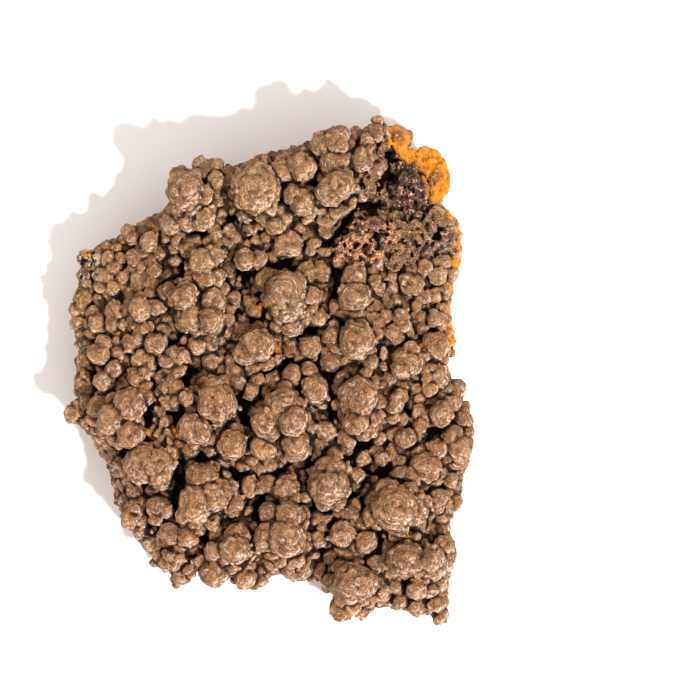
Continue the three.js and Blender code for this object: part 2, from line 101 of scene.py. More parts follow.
# Heads of the crust, by where they stand: x, y, radius and height of the crown.
HEADS = [
    # Top row.
    (-12.7, 27.2, 2.6, 22), (-9.9, 26.5, 1.5, 20.5), (-10.5, 31.1, 1.2, 17), (-8.2, 31.2, 1.1, 17),
    (-8, 28.7, 1.4, 18.5), (-8.3, 27, 1.2, 18), (-7.7, 25.8, 1.1, 17.5), (-13.6, 29.6, 1.3, 19),
    (-11.6, 24.7, 1.2, 19.5), (-1.9, 27.6, 3.3, 22.5), (-4.9, 29.4, 1.2, 15), (-5.2, 25.2, 0.9, 16),
    (2.3, 30.2, 1.8, 19.5), (5.3, 30.7, 2, 20), (2.4, 31.9, 1.1, 17.5), (3.2, 28.9, 1.4, 18),
    (5.9, 28.3, 0.9, 15.5), (8.2, 34.3, 1.6, 20.5), (10.5, 34.9, 1.9, 21), (10.4, 31.4, 2.2, 20.5),
    (10.9, 28, 2.2, 22), (9.5, 26.9, 2, 22), (8.5, 29.4, 1, 18.5), (11.9, 29.6, 1.2, 20.5),
    (3.6, 26.6, 1.5, 20), (5.4, 25.6, 1.9, 20), (6.3, 24.3, 1.2, 19),
    # Broken ridge right of the top row.
    (13.4, 35.8, 1.1, 17), (14.3, 31.9, 1.7, 20), (15.3, 34.6, 1.4, 19), (16, 32.8, 1.5, 19.5),
    (16.3, 30.6, 1.4, 19), (15.8, 28.4, 1.2, 18), (14.8, 26.8, 1.3, 17.5), (12.6, 25.6, 1, 17.5),
    (16.2, 26.5, 1, 16.5), (16.6, 36.2, 1.2, 17.5), (17, 37.9, 0.8, 16.5),
    # Ochre corner.
    (20.2, 35.2, 1.9, 13), (19, 36, 1.3, 14), (22.3, 32.6, 1.3, 13.5), (24.6, 31.2, 2.4, 14.5),
    (25.6, 28.6, 2.3, 14.5), (25.4, 26.6, 1.4, 13.5),
    # Dark mound.
    (21.6, 29.4, 2, 15.5), (20.8, 27.2, 1.8, 15.5), (22.6, 27.2, 1.6, 15.5),
    # Granular block.
    (19.6, 22.2, 1.8, 16.5), (18.8, 19.5, 1.8, 17), (22, 23.2, 1.5, 16), (21.6, 18.2, 1.9, 16.5),
    (24.3, 21.4, 1.5, 15.5), (25.8, 23.3, 1.7, 15), (27.5, 22.6, 1.4, 13.5), (16.8, 17, 1.7, 17),
    (19.4, 16.6, 1.4, 16.5), (14.4, 22.4, 1.5, 17.5), (13.6, 20.8, 1.9, 17.5),
    (16.4, 22.2, 1.2, 17.5), (11.9, 18.9, 1.4, 17), (11.2, 16.8, 1.3, 16.5), (13.1, 17, 1.6, 17),
    (15.2, 19, 1.6, 17), (14.8, 16.9, 1.2, 16.5),
    # Right edge, upper half.
    (27.9, 20.6, 1.3, 14), (26.6, 18.3, 1.1, 14), (25.6, 19.3, 1, 14.5), (28.7, 18.6, 1.2, 12.5),
    (28.6, 16.4, 1.3, 12.5), (26.6, 16.4, 1.4, 14.5), (24.2, 15.6, 1.3, 15.5), (26, 14.4, 1.5, 15),
    (28, 14.6, 1.3, 13), (27.2, 12.4, 1.4, 13.5), (24.2, 11.2, 1.4, 15), (25.8, 11.3, 1.2, 14.5),
    (22.3, 13.2, 1.7, 16), (21.5, 13.8, 1.2, 16), (19.3, 13, 1.2, 15), (19.5, 10.8, 1.4, 14.5),
    (21.6, 11.5, 0.9, 14),
    # Upper left plateau.
    (-28.6, 11, 1.7, 12), (-27.6, 16.3, 2, 12), (-25.5, 14.5, 1.3, 14.5), (-24, 15.8, 1.2, 14.5),
    (-22.7, 14.1, 1.2, 14.5), (-24.3, 12.6, 1.3, 14.5), (-25.8, 12.9, 1.2, 14),
    (-22.4, 12.4, 1, 14), (-24.5, 11, 0.9, 13.5), (-20.8, 17.1, 1.3, 15), (-18.5, 19.4, 1.4, 16),
    (-21, 20.1, 1.1, 14), (-21.9, 21.3, 1, 13.5), (-19.9, 14, 1.6, 15), (-18, 13.4, 1.5, 15),
    (-20.2, 12.6, 1.2, 14.5), (-18.5, 16.8, 1.2, 14.5), (-17.5, 15, 1.3, 15),
    (-20.9, 15.5, 1, 14.5), (-23.5, 18.6, 1, 13), (-24.8, 16.9, 1.1, 14), (-22.8, 17.2, 0.9, 14),
    (-25, 18.8, 0.9, 12.5), (-17.1, 18, 1.1, 14.5), (-18.3, 22.3, 1.1, 13.5),
    (-19.8, 21.8, 0.9, 13), (-17, 21.7, 0.9, 14),
    # Between the plateau and the middle.
    (-14.9, 22.2, 1.6, 18), (-12.2, 22.9, 1.7, 18.5), (-10, 23.1, 1.8, 19), (-13.4, 20, 1.7, 16.5),
    (-15.6, 20.5, 1, 15.5), (-11.8, 18.9, 1.7, 17), (-14.4, 18.7, 1, 15.5), (-10.2, 16.6, 1.8, 20),
    (-8.8, 17.2, 1.6, 19), (-9.6, 13.7, 1.7, 19), (-8, 14.2, 1.4, 18), (-15.2, 16.1, 0.9, 14),
    (-8.2, 20.4, 1.1, 17), (-6.2, 21.2, 1.2, 16.5), (-6.6, 19.7, 0.9, 16.5), (-5.2, 20.3, 0.9, 16),
    (-7.9, 22.8, 1.1, 16), (-7.2, 24, 1, 16), (-3.3, 23.7, 1.3, 17.5), (-1, 23.4, 1, 18),
    (-2.6, 21.6, 1.1, 16.5), (-1.5, 19.8, 1.2, 16), (-3.6, 16.7, 1.6, 18.5), (-1.4, 16.6, 1.3, 18),
    (-6.5, 15.9, 1.3, 15.5), (-6, 17.6, 0.9, 15), (-13, 11.1, 2, 21), (-15.2, 12, 1.2, 18),
    (-15.9, 11.9, 1, 17), (-8.2, 10.3, 1.9, 20), (-5.2, 13.2, 1, 13), (-2.2, 12.4, 1, 13),
    (-5.8, 10.6, 1.3, 15), (-3.2, 10.4, 1.1, 14),
    # Upper middle.
    (1.2, 22.4, 1.6, 18), (2.7, 23.2, 1.1, 18), (3.1, 19.3, 1.9, 18), (1.8, 18.3, 1.1, 17),
    (5, 21.9, 1.3, 16.5), (8.9, 23, 1.5, 18), (9, 21.2, 1.3, 17.5), (7.5, 23.3, 1.1, 17),
    (10.6, 24, 1.3, 19), (11.6, 24.4, 1, 18), (6.9, 19.2, 1.2, 16), (8.7, 17.9, 0.9, 15.5),
    (6.7, 18.1, 0.9, 16), (6, 14.9, 1.5, 17.5), (8.2, 14.9, 1.5, 17.5), (2.6, 11.6, 2.8, 22),
    (2.9, 10.2, 2.6, 21.5), (0.3, 13.6, 1.8, 19), (6.4, 11.1, 1.5, 18), (8.7, 11, 0.9, 14.5),
    (13.3, 11.3, 2.1, 20), (13.2, 14, 1.8, 19), (16.3, 13.5, 1.2, 17), (17.2, 12.6, 1, 16),
    # Left edge, middle.
    (-30.1, 8.9, 1, 12), (-29.7, 7.4, 1.3, 12), (-27, 8.7, 1.2, 13), (-26.2, 7, 1.5, 14),
    (-27.2, 5.5, 1.2, 13), (-23.6, 9, 1.4, 15), (-24, 7, 1.3, 15), (-22.2, 6.9, 1.1, 15),
    (-19.8, 9.2, 1.6, 17.5), (-17.4, 9.6, 1.2, 17), (-19.3, 6.6, 1.5, 16), (-17.4, 3.9, 1.7, 17),
    (-21.2, 4.2, 1.4, 16), (-23.6, 3.9, 1.1, 15), (-23.2, 2.4, 1.4, 15.5), (-26.2, 2.4, 1.5, 16),
    (-25.4, 4.1, 1.2, 15.5), (-19.8, 1.6, 1.4, 16), (-18.6, 1, 1.2, 16), (-28.8, 4, 1, 11),
    (-29.4, 1, 0.9, 10), (-28.6, 0.2, 1.1, 12), (-28.9, -2, 1.3, 13), (-29.3, -3.2, 1, 12),
    (-28.4, -1, 1, 13), (-25.4, -1.9, 1.5, 17), (-24, 0, 1.2, 16.5), (-22.4, -1.8, 1.1, 15.5),
    (-20.6, -1.2, 1.4, 16), (-19.3, -0.6, 1.2, 16), (-19.2, -2.6, 1.1, 15.5),
    (-21.3, -5.6, 2.3, 21), (-24, -7.5, 1.9, 21), (-21, -9.7, 1.9, 20.5), (-23.2, -10.4, 1.5, 18.5),
    (-26, -5.7, 1.6, 17.5), (-26.9, -7.7, 1.1, 16.5), (-25.4, -9.4, 1.1, 16),
    (-30.5, -6.8, 1.3, 13), (-29.6, -5.4, 1, 13), (-27.4, -9.2, 0.9, 12),
    # Left of the middle.
    (-11.6, 8.2, 2, 20), (-8.6, 7.6, 2, 20.5), (-11, 4.1, 1.5, 17), (-8.8, 4.7, 1.5, 16.5),
    (-7.2, 5, 1.2, 16), (-14.8, 5.4, 1.2, 14), (-14.7, 7, 1, 15), (-13.4, 5.4, 0.7, 13),
    (-4.4, 5.7, 1.5, 17), (-4.2, 7, 1.2, 16), (-5, 4, 0.7, 15), (-1.6, 3.7, 2.4, 20),
    (-3.3, 2.5, 1.7, 19.5), (-0.4, 1.2, 1.4, 17.5), (-11.1, 1.5, 1.1, 15), (-8.9, 1.2, 1.5, 16.5),
    (-7.3, 1.4, 0.9, 16), (-9.4, -0.2, 0.9, 15), (-5.2, -0.2, 1.4, 17.5), (-4.8, -1.9, 1.4, 18),
    (-5.7, 1, 1, 17), (-14.5, 2, 1.6, 17), (-15.6, 1.4, 1.2, 17), (-13.4, 2.3, 1.2, 17),
    (-14.8, -0.2, 1.6, 16.5), (-13.9, 0, 1.2, 16.5), (-15.5, -2, 1.5, 16.5),
    (-14.3, -2.7, 1.3, 16.5), (-16.8, -1, 1.2, 16), (-15.5, -4.9, 1.6, 16.5),
    (-14.6, -5, 1.1, 16.5), (-16.9, -6.8, 1.2, 16), (-7.9, -4.8, 2.6, 21.5),
    (-8.2, -2.6, 1.7, 20.5), (-5.8, -5.2, 1.2, 18), (-12.3, -4.2, 1.3, 18), (-11, -3.6, 1.1, 17),
    (-11, -1.8, 1, 14.5), (-2.6, -3.3, 1.3, 18.5), (-1.6, -1.6, 1.3, 18),
    # Middle.
    (3.6, 6.6, 1.7, 17.5), (5.9, 7.9, 1.1, 17), (7.6, 8, 1.3, 17), (6.6, 3.6, 1.7, 17.5),
    (3.6, 3.3, 1.5, 16.5), (5, 2.5, 1.2, 16.5), (1.2, 5.2, 1, 16), (1.4, 3.1, 0.9, 15.5),
    (1, 1.6, 1.1, 16.5), (13.6, 4.4, 2.5, 21), (10.1, 5, 1.5, 18.5), (10.6, 3.4, 1.3, 18),
    (10.2, 6.6, 0.9, 17.5), (9.8, 1.4, 1.6, 17.5), (11.6, 1.6, 1.2, 17), (8.9, 2.6, 1, 17),
    (15.5, 1.3, 1.4, 18), (11.8, 8.6, 1.5, 16.5), (10, 8.2, 0.8, 15), (0.8, -1.9, 1.6, 18),
    (3.9, -0.9, 1.5, 18), (6.4, -0.2, 1.3, 18), (7.3, -3.1, 1.9, 19.5), (6.7, -6, 1.1, 15.5),
    (8.5, -6.1, 0.8, 15), (2.3, -5.3, 2.5, 22), (3.9, -7.7, 1.9, 22.5), (0, -8, 2.4, 22),
    (-0.6, -11.7, 1.9, 20.5), (4.2, -10.9, 2, 20.5), (4.5, -12.2, 1.7, 19), (1.5, -12.3, 0.8, 17.5),
    (11.3, -1.5, 1.1, 19), (10.9, -2.7, 0.9, 18.5), (13.8, -4.2, 2.7, 22.5), (10.9, -5.3, 0.9, 18),
    (13.5, -7.9, 1.9, 21.5), (15, -0.4, 1, 18),
    # Right of the middle.
    (18, 8.2, 1.2, 16.5), (16, 7.9, 1.3, 16.5), (20.6, 8, 1.3, 17), (20.9, 6.8, 1.1, 17),
    (19.2, 5.6, 1.4, 17), (19.8, 4.6, 1.2, 17), (18.2, 5.9, 1, 16.5), (17.2, 4.3, 1, 16),
    (17.9, 2.4, 0.75, 17), (17.9, 0.6, 1, 17), (19, 1.6, 1, 16.5), (21.6, 1.2, 2.1, 19),
    (22, 3, 1.2, 18.5), (20.6, 0.2, 1.4, 19), (25.8, 7.8, 1.3, 16), (23.6, 8, 1, 14.5),
    (23.6, 6, 1, 15), (23, 4.4, 0.65, 14.5), (27, 9, 1.1, 14), (27.3, 6.5, 1.2, 13.5),
    (26.1, 3.7, 1.8, 17.5), (25.6, 1.6, 0.8, 15), (26.8, 1.3, 0.9, 14.5), (28, 2.8, 0.9, 13),
    (24.2, 0.3, 1.2, 16), (24.4, -1.1, 0.9, 16), (26.4, -1.1, 1.6, 16), (24.8, -3, 1.1, 16),
    (29.2, -3.2, 1.4, 13.5), (26.6, -3.8, 1.3, 14.5), (28.4, -5, 1.1, 13), (21.6, -2.2, 0.9, 15.5),
    (23, -2.9, 1, 15.5), (22.3, -4.9, 1, 15), (23.3, -4.3, 0.9, 15.5), (23.2, -6.3, 1.2, 16),
    (19.3, -5, 1.5, 17.5), (17, -4.9, 1.1, 17), (20.3, -4, 1.2, 17), (18.9, -1.1, 1.2, 16.5),
    (16.4, -1.1, 0.8, 16), (24.4, -6.9, 0.9, 16), (26.9, -6.8, 1.6, 18), (30, -6, 1.3, 13),
    (30.5, -8, 1.2, 12),
    # Left edge, lower half.
    (-26, -11.3, 1.1, 11), (-25.6, -12.6, 1, 10.5), (-24.5, -13.6, 1.1, 11), (-22.8, -12.8, 1, 12),
    (-22, -15.6, 1.2, 14), (-21.5, -17, 1.2, 14), (-20.6, -18.6, 1.4, 14.5), (-22.8, -17, 1, 12.5),
    (-23, -19.5, 1, 11.5), (-19.2, -14.2, 2.6, 20.5), (-17, -14.8, 2.4, 20.5),
    (-16.4, -16.7, 1.4, 18.5), (-18, -18.5, 1, 15), (-20.6, -21.3, 1.5, 15.5),
    (-21.4, -22.9, 1.4, 15.5), (-19.6, -22.8, 1.2, 15), (-19.3, -20.5, 1.1, 15),
    (-17, -20.9, 1.6, 17.5), (-15.6, -21.6, 1.1, 17.5), (-17.3, -22.8, 1.1, 17),
    (-17.8, -9.5, 1.2, 15),
    # Lower left.
    (-11.8, -8.7, 2.1, 20.5), (-10.8, -9.2, 2, 20.5), (-7.8, -7.6, 1.5, 18.5),
    (-12.5, -12.3, 1.4, 16.5), (-9.2, -12, 1.3, 16), (-5.5, -11.2, 2, 19.5),
    (-4.9, -9.4, 1.2, 18.5), (-6.6, -11.5, 1.3, 19), (-15.6, -10.5, 1.1, 16), (-16.2, -8, 1.2, 16),
    (-14.6, -9.6, 0.8, 15), (-15.2, -12.7, 1.3, 17), (-13.9, -14.9, 0.9, 14.5),
    (-7.2, -14.3, 1.1, 16), (-7.3, -15.4, 0.8, 15.5), (-5.1, -14.3, 0.8, 15.5),
    (-3.6, -14.6, 1.2, 16), (-1.2, -14.9, 1.3, 16.5), (-10.2, -16.5, 2.3, 20.5),
    (-10.9, -20.2, 2.5, 21.5), (-8.6, -19.4, 2.2, 21), (-7.6, -18.5, 1.9, 20),
    (-5.9, -17.8, 1.1, 18), (-5.6, -20.2, 1.5, 18), (-7.5, -22, 0.9, 16), (-3, -17.9, 1.4, 17.5),
    (-1.2, -17.8, 1.2, 17), (-3.3, -20.4, 0.8, 14.5), (-3, -22.7, 0.9, 14), (-5.2, -22.6, 0.8, 14),
    (-11, -23.6, 1.5, 17.5),
    # Lower middle.
    (8.6, -9.4, 1.7, 18), (7.6, -11, 1.3, 17.5), (11.9, -10.6, 1.5, 17.5), (11.8, -11.9, 1.1, 17),
    (14.6, -9.6, 1.2, 18.5), (8.6, -13, 0.9, 15.5), (6.1, -13.5, 0.7, 14), (9.2, -17.3, 2.9, 22.5),
    (9.6, -15.3, 2.1, 21.5), (8.6, -19.9, 1.5, 19.5), (2.7, -18, 2, 18.5), (0, -17.4, 1.5, 17.5),
    (5.4, -18.4, 1.1, 17), (5.6, -16.6, 0.9, 17), (4.3, -15.1, 1, 16), (1.9, -14.1, 0.9, 16),
    (14.6, -13.3, 1.2, 16.5), (13.3, -16.2, 1.4, 17), (12.9, -17.2, 1.1, 16.5),
    (7.4, -22.6, 1.3, 17), (3.3, -22.2, 2.1, 21.5), (3, -25.3, 2.7, 22), (0.2, -22, 1.6, 19.5),
    (-0.1, -25.3, 1.9, 20.5), (12.4, -22.3, 1.6, 17.5), (11, -21.8, 1.1, 17),
    (11.6, -24.9, 1.8, 18.5), (14.9, -23, 1.2, 17), (14.5, -20.1, 0.8, 14),
    (14.2, -18.7, 0.8, 14.5),
    # Lower right.
    (15.6, -9.2, 1.1, 18), (17.1, -10.4, 1, 16.5), (18.9, -9.9, 1, 16), (16.6, -12.1, 0.9, 15.5),
    (17.6, -13.3, 1.3, 16), (19, -12.8, 1, 15.5), (21.2, -10.4, 1.5, 17), (20.3, -8.2, 0.8, 15),
    (19.2, -7, 1.2, 16), (17.7, -7.2, 1.1, 16), (23.3, -8.6, 1.2, 16), (23.2, -10, 0.9, 15),
    (25.6, -10.2, 0.6, 13.5), (23.5, -11, 0.7, 14.5), (29.6, -12, 1.9, 17),
    (28.4, -10.3, 1.6, 16.5), (30.6, -9.6, 1.3, 14), (26.2, -12.2, 1.5, 17), (27.3, -13.2, 1.1, 16),
    (29.6, -14.4, 1.1, 13.5), (28.2, -15.3, 1, 13.5), (24.3, -14.9, 2, 17.5), (22, -12.8, 0.8, 15),
    (20.4, -14, 1.1, 15.5), (20.6, -15.9, 1.4, 17), (24.2, -17.6, 1.2, 14.5), (28, -17, 1.3, 14.5),
    (28.9, -18.5, 1.1, 13), (26.1, -20, 1.7, 16), (25.3, -21.7, 0.8, 15), (28.9, -20.4, 1.1, 13.5),
    (26.5, -22.8, 1.1, 14), (28, -22, 0.8, 12), (19.5, -20.9, 3, 22.5), (22, -21.2, 2.2, 20.5),
    (18.5, -18.3, 1.8, 20.5), (21.5, -18.7, 1.5, 19.5), (15.9, -22.1, 1.4, 18),
    (15.8, -18.2, 1.3, 15),
    # Bottom row.
    (-18.4, -26.5, 1.2, 13.5), (-17.3, -28.4, 0.9, 12.5), (-17.6, -29.6, 0.7, 11.5),
    (-19.7, -24.8, 1, 12), (-15.2, -24.9, 1.7, 17.5), (-12.5, -25.5, 1.6, 17.5),
    (-15.5, -28.5, 1.1, 14.5), (-13.9, -28.9, 1, 14), (-16, -29.7, 1.1, 13.5),
    (-12.6, -30.6, 0.9, 12.5), (-14.7, -29.9, 0.9, 13.5), (-11.4, -30.4, 0.8, 12.5),
    (-12.1, -31.3, 0.8, 11.5), (-13.9, -32.6, 1, 10.5), (-14.4, -33, 0.8, 10), (-8, -24.6, 1.3, 17),
    (-8.3, -27.6, 1.5, 18), (-5.2, -27.2, 2.2, 20.5), (-4.8, -25.4, 1.9, 19.5),
    (-8.3, -30.7, 2.1, 17), (-10.3, -29.2, 1, 16), (-3.6, -31.6, 1.8, 15.5), (-5.3, -32, 0.8, 13.5),
    (-1.1, -32, 1.1, 14), (-1, -30.6, 0.8, 14), (-1.6, -28.3, 0.8, 15), (-2.3, -32.9, 0.8, 12.5),
    (-2.4, -24.3, 0.9, 16), (-2.4, -26.5, 0.8, 15.5), (7.6, -25.6, 1.4, 17.5), (8.2, -24, 1, 17),
    (4.4, -28.9, 1.2, 17.5), (2, -28.9, 1.1, 17), (0.3, -29.2, 0.9, 15), (0.8, -30.6, 0.9, 14),
    (4.2, -31.1, 1.3, 14.5), (5.3, -31.3, 0.9, 13.5), (7, -28.3, 0.8, 15), (7, -31.7, 0.9, 13),
    (7.6, -30.1, 0.7, 13.5), (9.9, -28.6, 1.3, 15.5), (10, -30.4, 0.7, 15),
    (12.6, -28.4, 1.2, 16.5), (9.2, -32.6, 1, 15.5), (12.6, -32.4, 2.6, 20.5),
    (14.4, -32.4, 2.3, 20.5), (11.6, -36.5, 1.8, 15.5), (14.2, -37.1, 1.1, 14),
    (15.2, -26.3, 1.6, 18), (16.7, -29.7, 1.4, 17), (18.9, -30.9, 1.3, 16.5),
    (21.2, -25.4, 1.2, 18.5), (19.8, -25.5, 1, 18), (22.7, -25.4, 1, 18.5),
    (21.3, -28.7, 2.4, 20.5), (25.2, -28.8, 2.1, 20.5), (25.6, -29.6, 2, 19.5),
    (27, -27, 1.6, 17.5), (28, -28, 1.1, 15), (23.2, -31.9, 1.2, 17.5), (23, -33.6, 1.6, 17.5),
    (22.8, -36.4, 1.3, 15), (20.3, -35.6, 1.1, 15), (17.8, -33.8, 1.3, 15.5),
    (17.3, -35.4, 0.9, 14), (26.7, -38, 1.1, 12.5), (26, -36.1, 1.3, 14), (27.3, -35.5, 0.9, 13),
    (26.6, -33.2, 0.9, 13.5),
]

# Deep gaps between the heads: half width, then the points that the gap runs through.
GAPS = [
    (0.7, (-6.6, 23.6), (-6.1, 22.8), (-5.4, 23.2)),
    (0.7, (-16.7, 14), (-14.6, 13.9), (-12.2, 15), (-13.5, 16.5)),
    (0.5, (-13, 20.8), (-11.5, 21.3), (-10, 20.2)),
    (0.7, (-6.7, 13.8), (-6.5, 11.8), (-5, 12)),
    (0.9, (-4.5, 14.8), (-4, 14.2), (-2, 14.9), (0, 15.4), (2, 16.2), (3.5, 15.5)),
    (1.0, (-1, 12), (-0.8, 10), (-0.7, 8), (-3, 7.3), (-5.5, 8.5)),
    (0.6, (7.6, 31.5), (7.3, 29), (7.2, 27.3)),
    (0.5, (0.3, 30), (0.7, 28.3)),
    (0.7, (2, 27.5), (2.2, 26), (3, 24.8)),
    (0.8, (9.5, 9), (9, 7), (7.5, 6), (5.4, 4.7)),
    (0.8, (10.3, 15), (11, 14.8), (10.8, 12), (9.8, 10)),
    (0.9, (0, 0), (2, 0.6), (5, 1.1), (8, 1.1)),
    (0.6, (11.4, 6.8), (11.5, 5), (12.1, 3)),
    (0.8, (9.3, -0.7), (9.6, -5), (10.3, -7.5)),
    (0.7, (9.8, -0.6), (12.5, 0.8), (14.8, 0.5)),
    (0.7, (6.3, -0.8), (4.6, -3), (5, -4.4)),
    (0.9, (-4, -3.7), (-3.8, -7), (-2.6, -9.3)),
    (0.6, (-3.7, 0.8), (-2.6, -1)),
    (0.7, (-12.3, 0.5), (-10.8, -0.5)),
    (0.9, (-12.5, -2), (-13.6, -4), (-14, -6.5), (-14.7, -8.5)),
    (0.6, (-15.5, 4.2), (-12.7, 5.5), (-12.4, 6.5)),
    (0.6, (-27.5, 0.3), (-27.3, -1.5), (-27, -3), (-28.3, -4.3), (-28.2, -6), (-28.3, -8.4)),
    (0.6, (-24, -3.6), (-24, -4.6)),
    (0.6, (-22.6, -3.1), (-20.8, -2.5)),
    (0.7, (-18, 0.3), (-17.7, -1), (-18.2, -3), (-18.2, -5.3)),
    (0.6, (-18.3, -7), (-18.3, -8.2)),
    (0.7, (-23, -12), (-22, -13.7)),
    (0.8, (-21.5, -12), (-19, -11.1), (-17, -11.2)),
    (0.8, (-13.5, -13.8), (-10.5, -13.4), (-7.6, -12.8)),
    (0.5, (-8.3, -9.8), (-8, -11)),
    (0.9, (-13.3, -14.5), (-13.7, -17.5), (-14, -20), (-14.2, -22)),
    (0.7, (-18.8, -17.6), (-18.7, -19.2), (-18.5, -21), (-19, -22)),
    (0.7, (-18.2, -23.4), (-17, -24.5), (-17, -26)),
    (0.7, (-5.8, -15.5), (-3.8, -16.5), (-4.6, -17.5)),
    (0.9, (-1, -19.4), (-1.7, -21.5), (-1.7, -25.5)),
    (0.8, (-10, -25), (-9.3, -25.8), (-10.7, -28), (-12.3, -28.8), (-12.3, -29.5)),
    (0.7, (8, -13), (6.5, -14), (5.7, -15)),
    (0.7, (3.3, -14.5), (2, -15.4), (1, -16.8)),
    (0.7, (6.3, -19.3), (7, -21), (9, -21.2)),
    (0.8, (9.5, -21.5), (9.6, -23.7), (9.4, -25.2)),
    (0.8, (12.5, -19), (14, -20), (14.8, -21.3)),
    (0.7, (12, -13.8), (12.2, -15)),
    (0.7, (13.3, -12.3), (15, -10.7), (15.8, -12)),
    (0.9, (15, -16), (17.5, -15.7), (18.7, -14.5)),
    (0.7, (24.6, -12), (25.2, -9.6), (27.2, -8.9), (28.8, -7)),
    (0.5, (22.2, -14.3), (21.8, -15.5)),
    (0.5, (21.5, -4.8), (21.9, -6.5)),
    (0.6, (24.2, -19.2), (25, -18.5), (26.6, -17.8)),
    (0.8, (17.4, -24.5), (17.7, -27.5), (16, -28.2), (15.2, -29.5)),
    (0.7, (21, -32.5), (20.5, -34), (18.5, -35.3)),
    (0.7, (8.3, -27.5), (8.8, -30.5), (7, -30.9)),
    (0.5, (24.3, -24), (26.5, -24), (27.5, -23)),
    (0.6, (24.4, 5.9), (25.9, 6)),
    (0.5, (20.8, 4.2), (21.4, 4.5)),
    (0.8, (23, 31), (21, 31.6), (18.4, 32.6), (18.2, 29), (17, 27.5), (16.3, 25.3)),
    (0.8, (16.3, 25.3), (13.5, 24.5), (12, 23), (10.5, 21), (9, 19.3)),
    (0.6, (27, 21.6), (25.5, 20.3), (24.4, 19.2)),
    (0.6, (23.3, 18), (22.3, 16.3), (20, 14.8), (20, 13.5), (20.8, 12.2)),
    (0.5, (18.5, 24.5), (17.7, 22.5), (16.6, 20.5), (16.5, 18.5)),
]

# Patches of other matter, each a list of round spots: x, y, radius.
OCHRE_SPOTS = [
    (20.4, 35.2, 1.7), (19.6, 36.6, 0.9), (22.2, 33.2, 1.7), (25.2, 31.6, 2.8), (26.4, 29, 2.4),
    (26.4, 27.2, 1.9), (28.6, 24, 1.0), (29.4, 21.5, 0.8), (29.8, 19, 0.8), (29.3, 16.4, 1.0),
    (28.6, 12.6, 0.7), (28.4, 9.5, 0.7), (28.6, 6.6, 0.7), (28.4, 4.2, 0.7), (-28.4, 18.2, 0.5),
    (-15.1, 29.4, 0.6), (-2.6, 32.2, 0.6), (2.6, 33.8, 0.6), (-21.9, -22, 0.5),
]
DEEP_OCHRE_SPOTS = [
    (1.4, 3.1, 1.2), (-16.8, 6.2, 1.0), (8.5, 11, 1.2), (-14.6, -9.6, 1.2), (-18.3, -9.5, 1.2),
    (11.3, -13, 1.2), (-8.7, 25, 1.0), (22.6, -11.1, 0.7), (26.8, -17.6, 0.7), (-1.5, 9, 1.4),
    (-12.5, -4.5, 1.2), (-11.5, -28.5, 1.2), (5.5, -27, 1.0), (16.2, -27.5, 1.2), (-0.5, 4.6, 1.0),
]
BARE_ROCK_SPOTS = [
    (-8.8, 31.4, 0.9), (-5.5, 31.6, 1.1), (-3.2, 32, 1.1), (-1, 32.9, 1.1), (1.3, 33.5, 1.1),
    (3.5, 34.3, 1.1), (6, 34.9, 1.0), (-18.3, 22.6, 1.6), (-20.2, 21.6, 1.0), (-15.2, 25.6, 0.9),
]
DARK_SPOTS = [
    (21.6, 29.3, 2.4), (20.2, 27.6, 2.0), (22.8, 27.0, 2.2), (21.4, 25.2, 1.8), (24.6, 25.4, 1.2),
    (22.4, 23.6, 1.2), (20.2, 31.6, 0.9), (14, 21.2, 1.0), (16.3, 22.3, 0.9), (-28.2, 15.4, 0.6),
    (-29.4, 4, 0.5), (-24.9, -15.6, 0.8), (-24, -20.3, 0.7), (-20.3, -26, 0.8), (28.1, 20.7, 0.95),
    (26.6, 18.4, 0.75), (25.3, 19.2, 0.7), (29, 18.4, 0.6), (-4.4, 31.4, 0.7), (-2.9, 31.9, 0.5),
    (-1.2, 32.5, 0.7), (2, 33.9, 0.5), (3.9, 34.5, 0.6), (5.4, 34.6, 0.7), (26.3, 29.8, 0.6),
    (24.3, 32.4, 0.5), (25.2, 28.9, 0.8), (24.5, 27.8, 0.6), (19.8, 36.3, 0.8), (20.7, 34.9, 0.5),
]
PINK_SPOTS = [
    (14.4, 21, 2.6), (12.4, 18.4, 2.3), (15.4, 18.4, 2.4), (18.4, 20.8, 1.8), (21.8, 30.6, 1.0),
    (11.4, 17.2, 1.0), (20.6, 33, 1.2),
]
CREAM_SPOTS = [
    (-27.9, 16.2, 2.0), (-29.3, 3.9, 1.2), (-24.8, -15.4, 1.2), (-23.9, -20.2, 1.1),
    (-20.1, -26, 1.1), (28.1, 20.7, 1.4), (26.6, 18.4, 1.2), (25.3, 19.2, 1.1), (-8.3, 3.4, 0.5),
    (-21.4, 21.5, 0.5),
]
GRANULAR_SPOTS = [
    (21.6, 28.2, 3.6), (19.6, 22.4, 3.4), (14, 20, 4.2), (20.6, 18.4, 3.0), (24.6, 22, 3.0),
    (18.4, 33, 2.0), (16.2, 28, 1.8), (26.6, 19, 2.2), (-28, 16, 2.0), (17, 25.6, 1.6),
]

# Every choice below is drawn from this.
rng = np.random.default_rng(20)

grid_x, grid_y, grid_z = [
    np.arange(low, high, STEP, dtype=np.float32) for low, high in zip(GRID_LOW, GRID_HIGH)
]
SHAPE = (len(grid_x), len(grid_y), len(grid_z))
FLAT = SHAPE[:2]
flat_x = grid_x[:, None]
flat_y = grid_y[None, :]
height_z = grid_z[None, None, :]


def smooth_noise(shape, size_mm):
    """Smooth values between -1 and 1 on a grid, with swells of about that size."""
    cell = size_mm / STEP
    counts = [int(count / cell) + 3 for count in shape]
    values = rng.uniform(-1, 1, counts).astype(np.float32)
    for axis, count in enumerate(shape):
        place = np.arange(count) / cell
        low = place.astype(int)
        share = place - low
        share = share * share * (3 - 2 * share)
        along = [1] * len(shape)
        along[axis] = count
        share = share.reshape(along).astype(np.float32)
        values = np.take(values, low, axis) * (1 - share) + np.take(values, low + 1, axis) * share
    return values


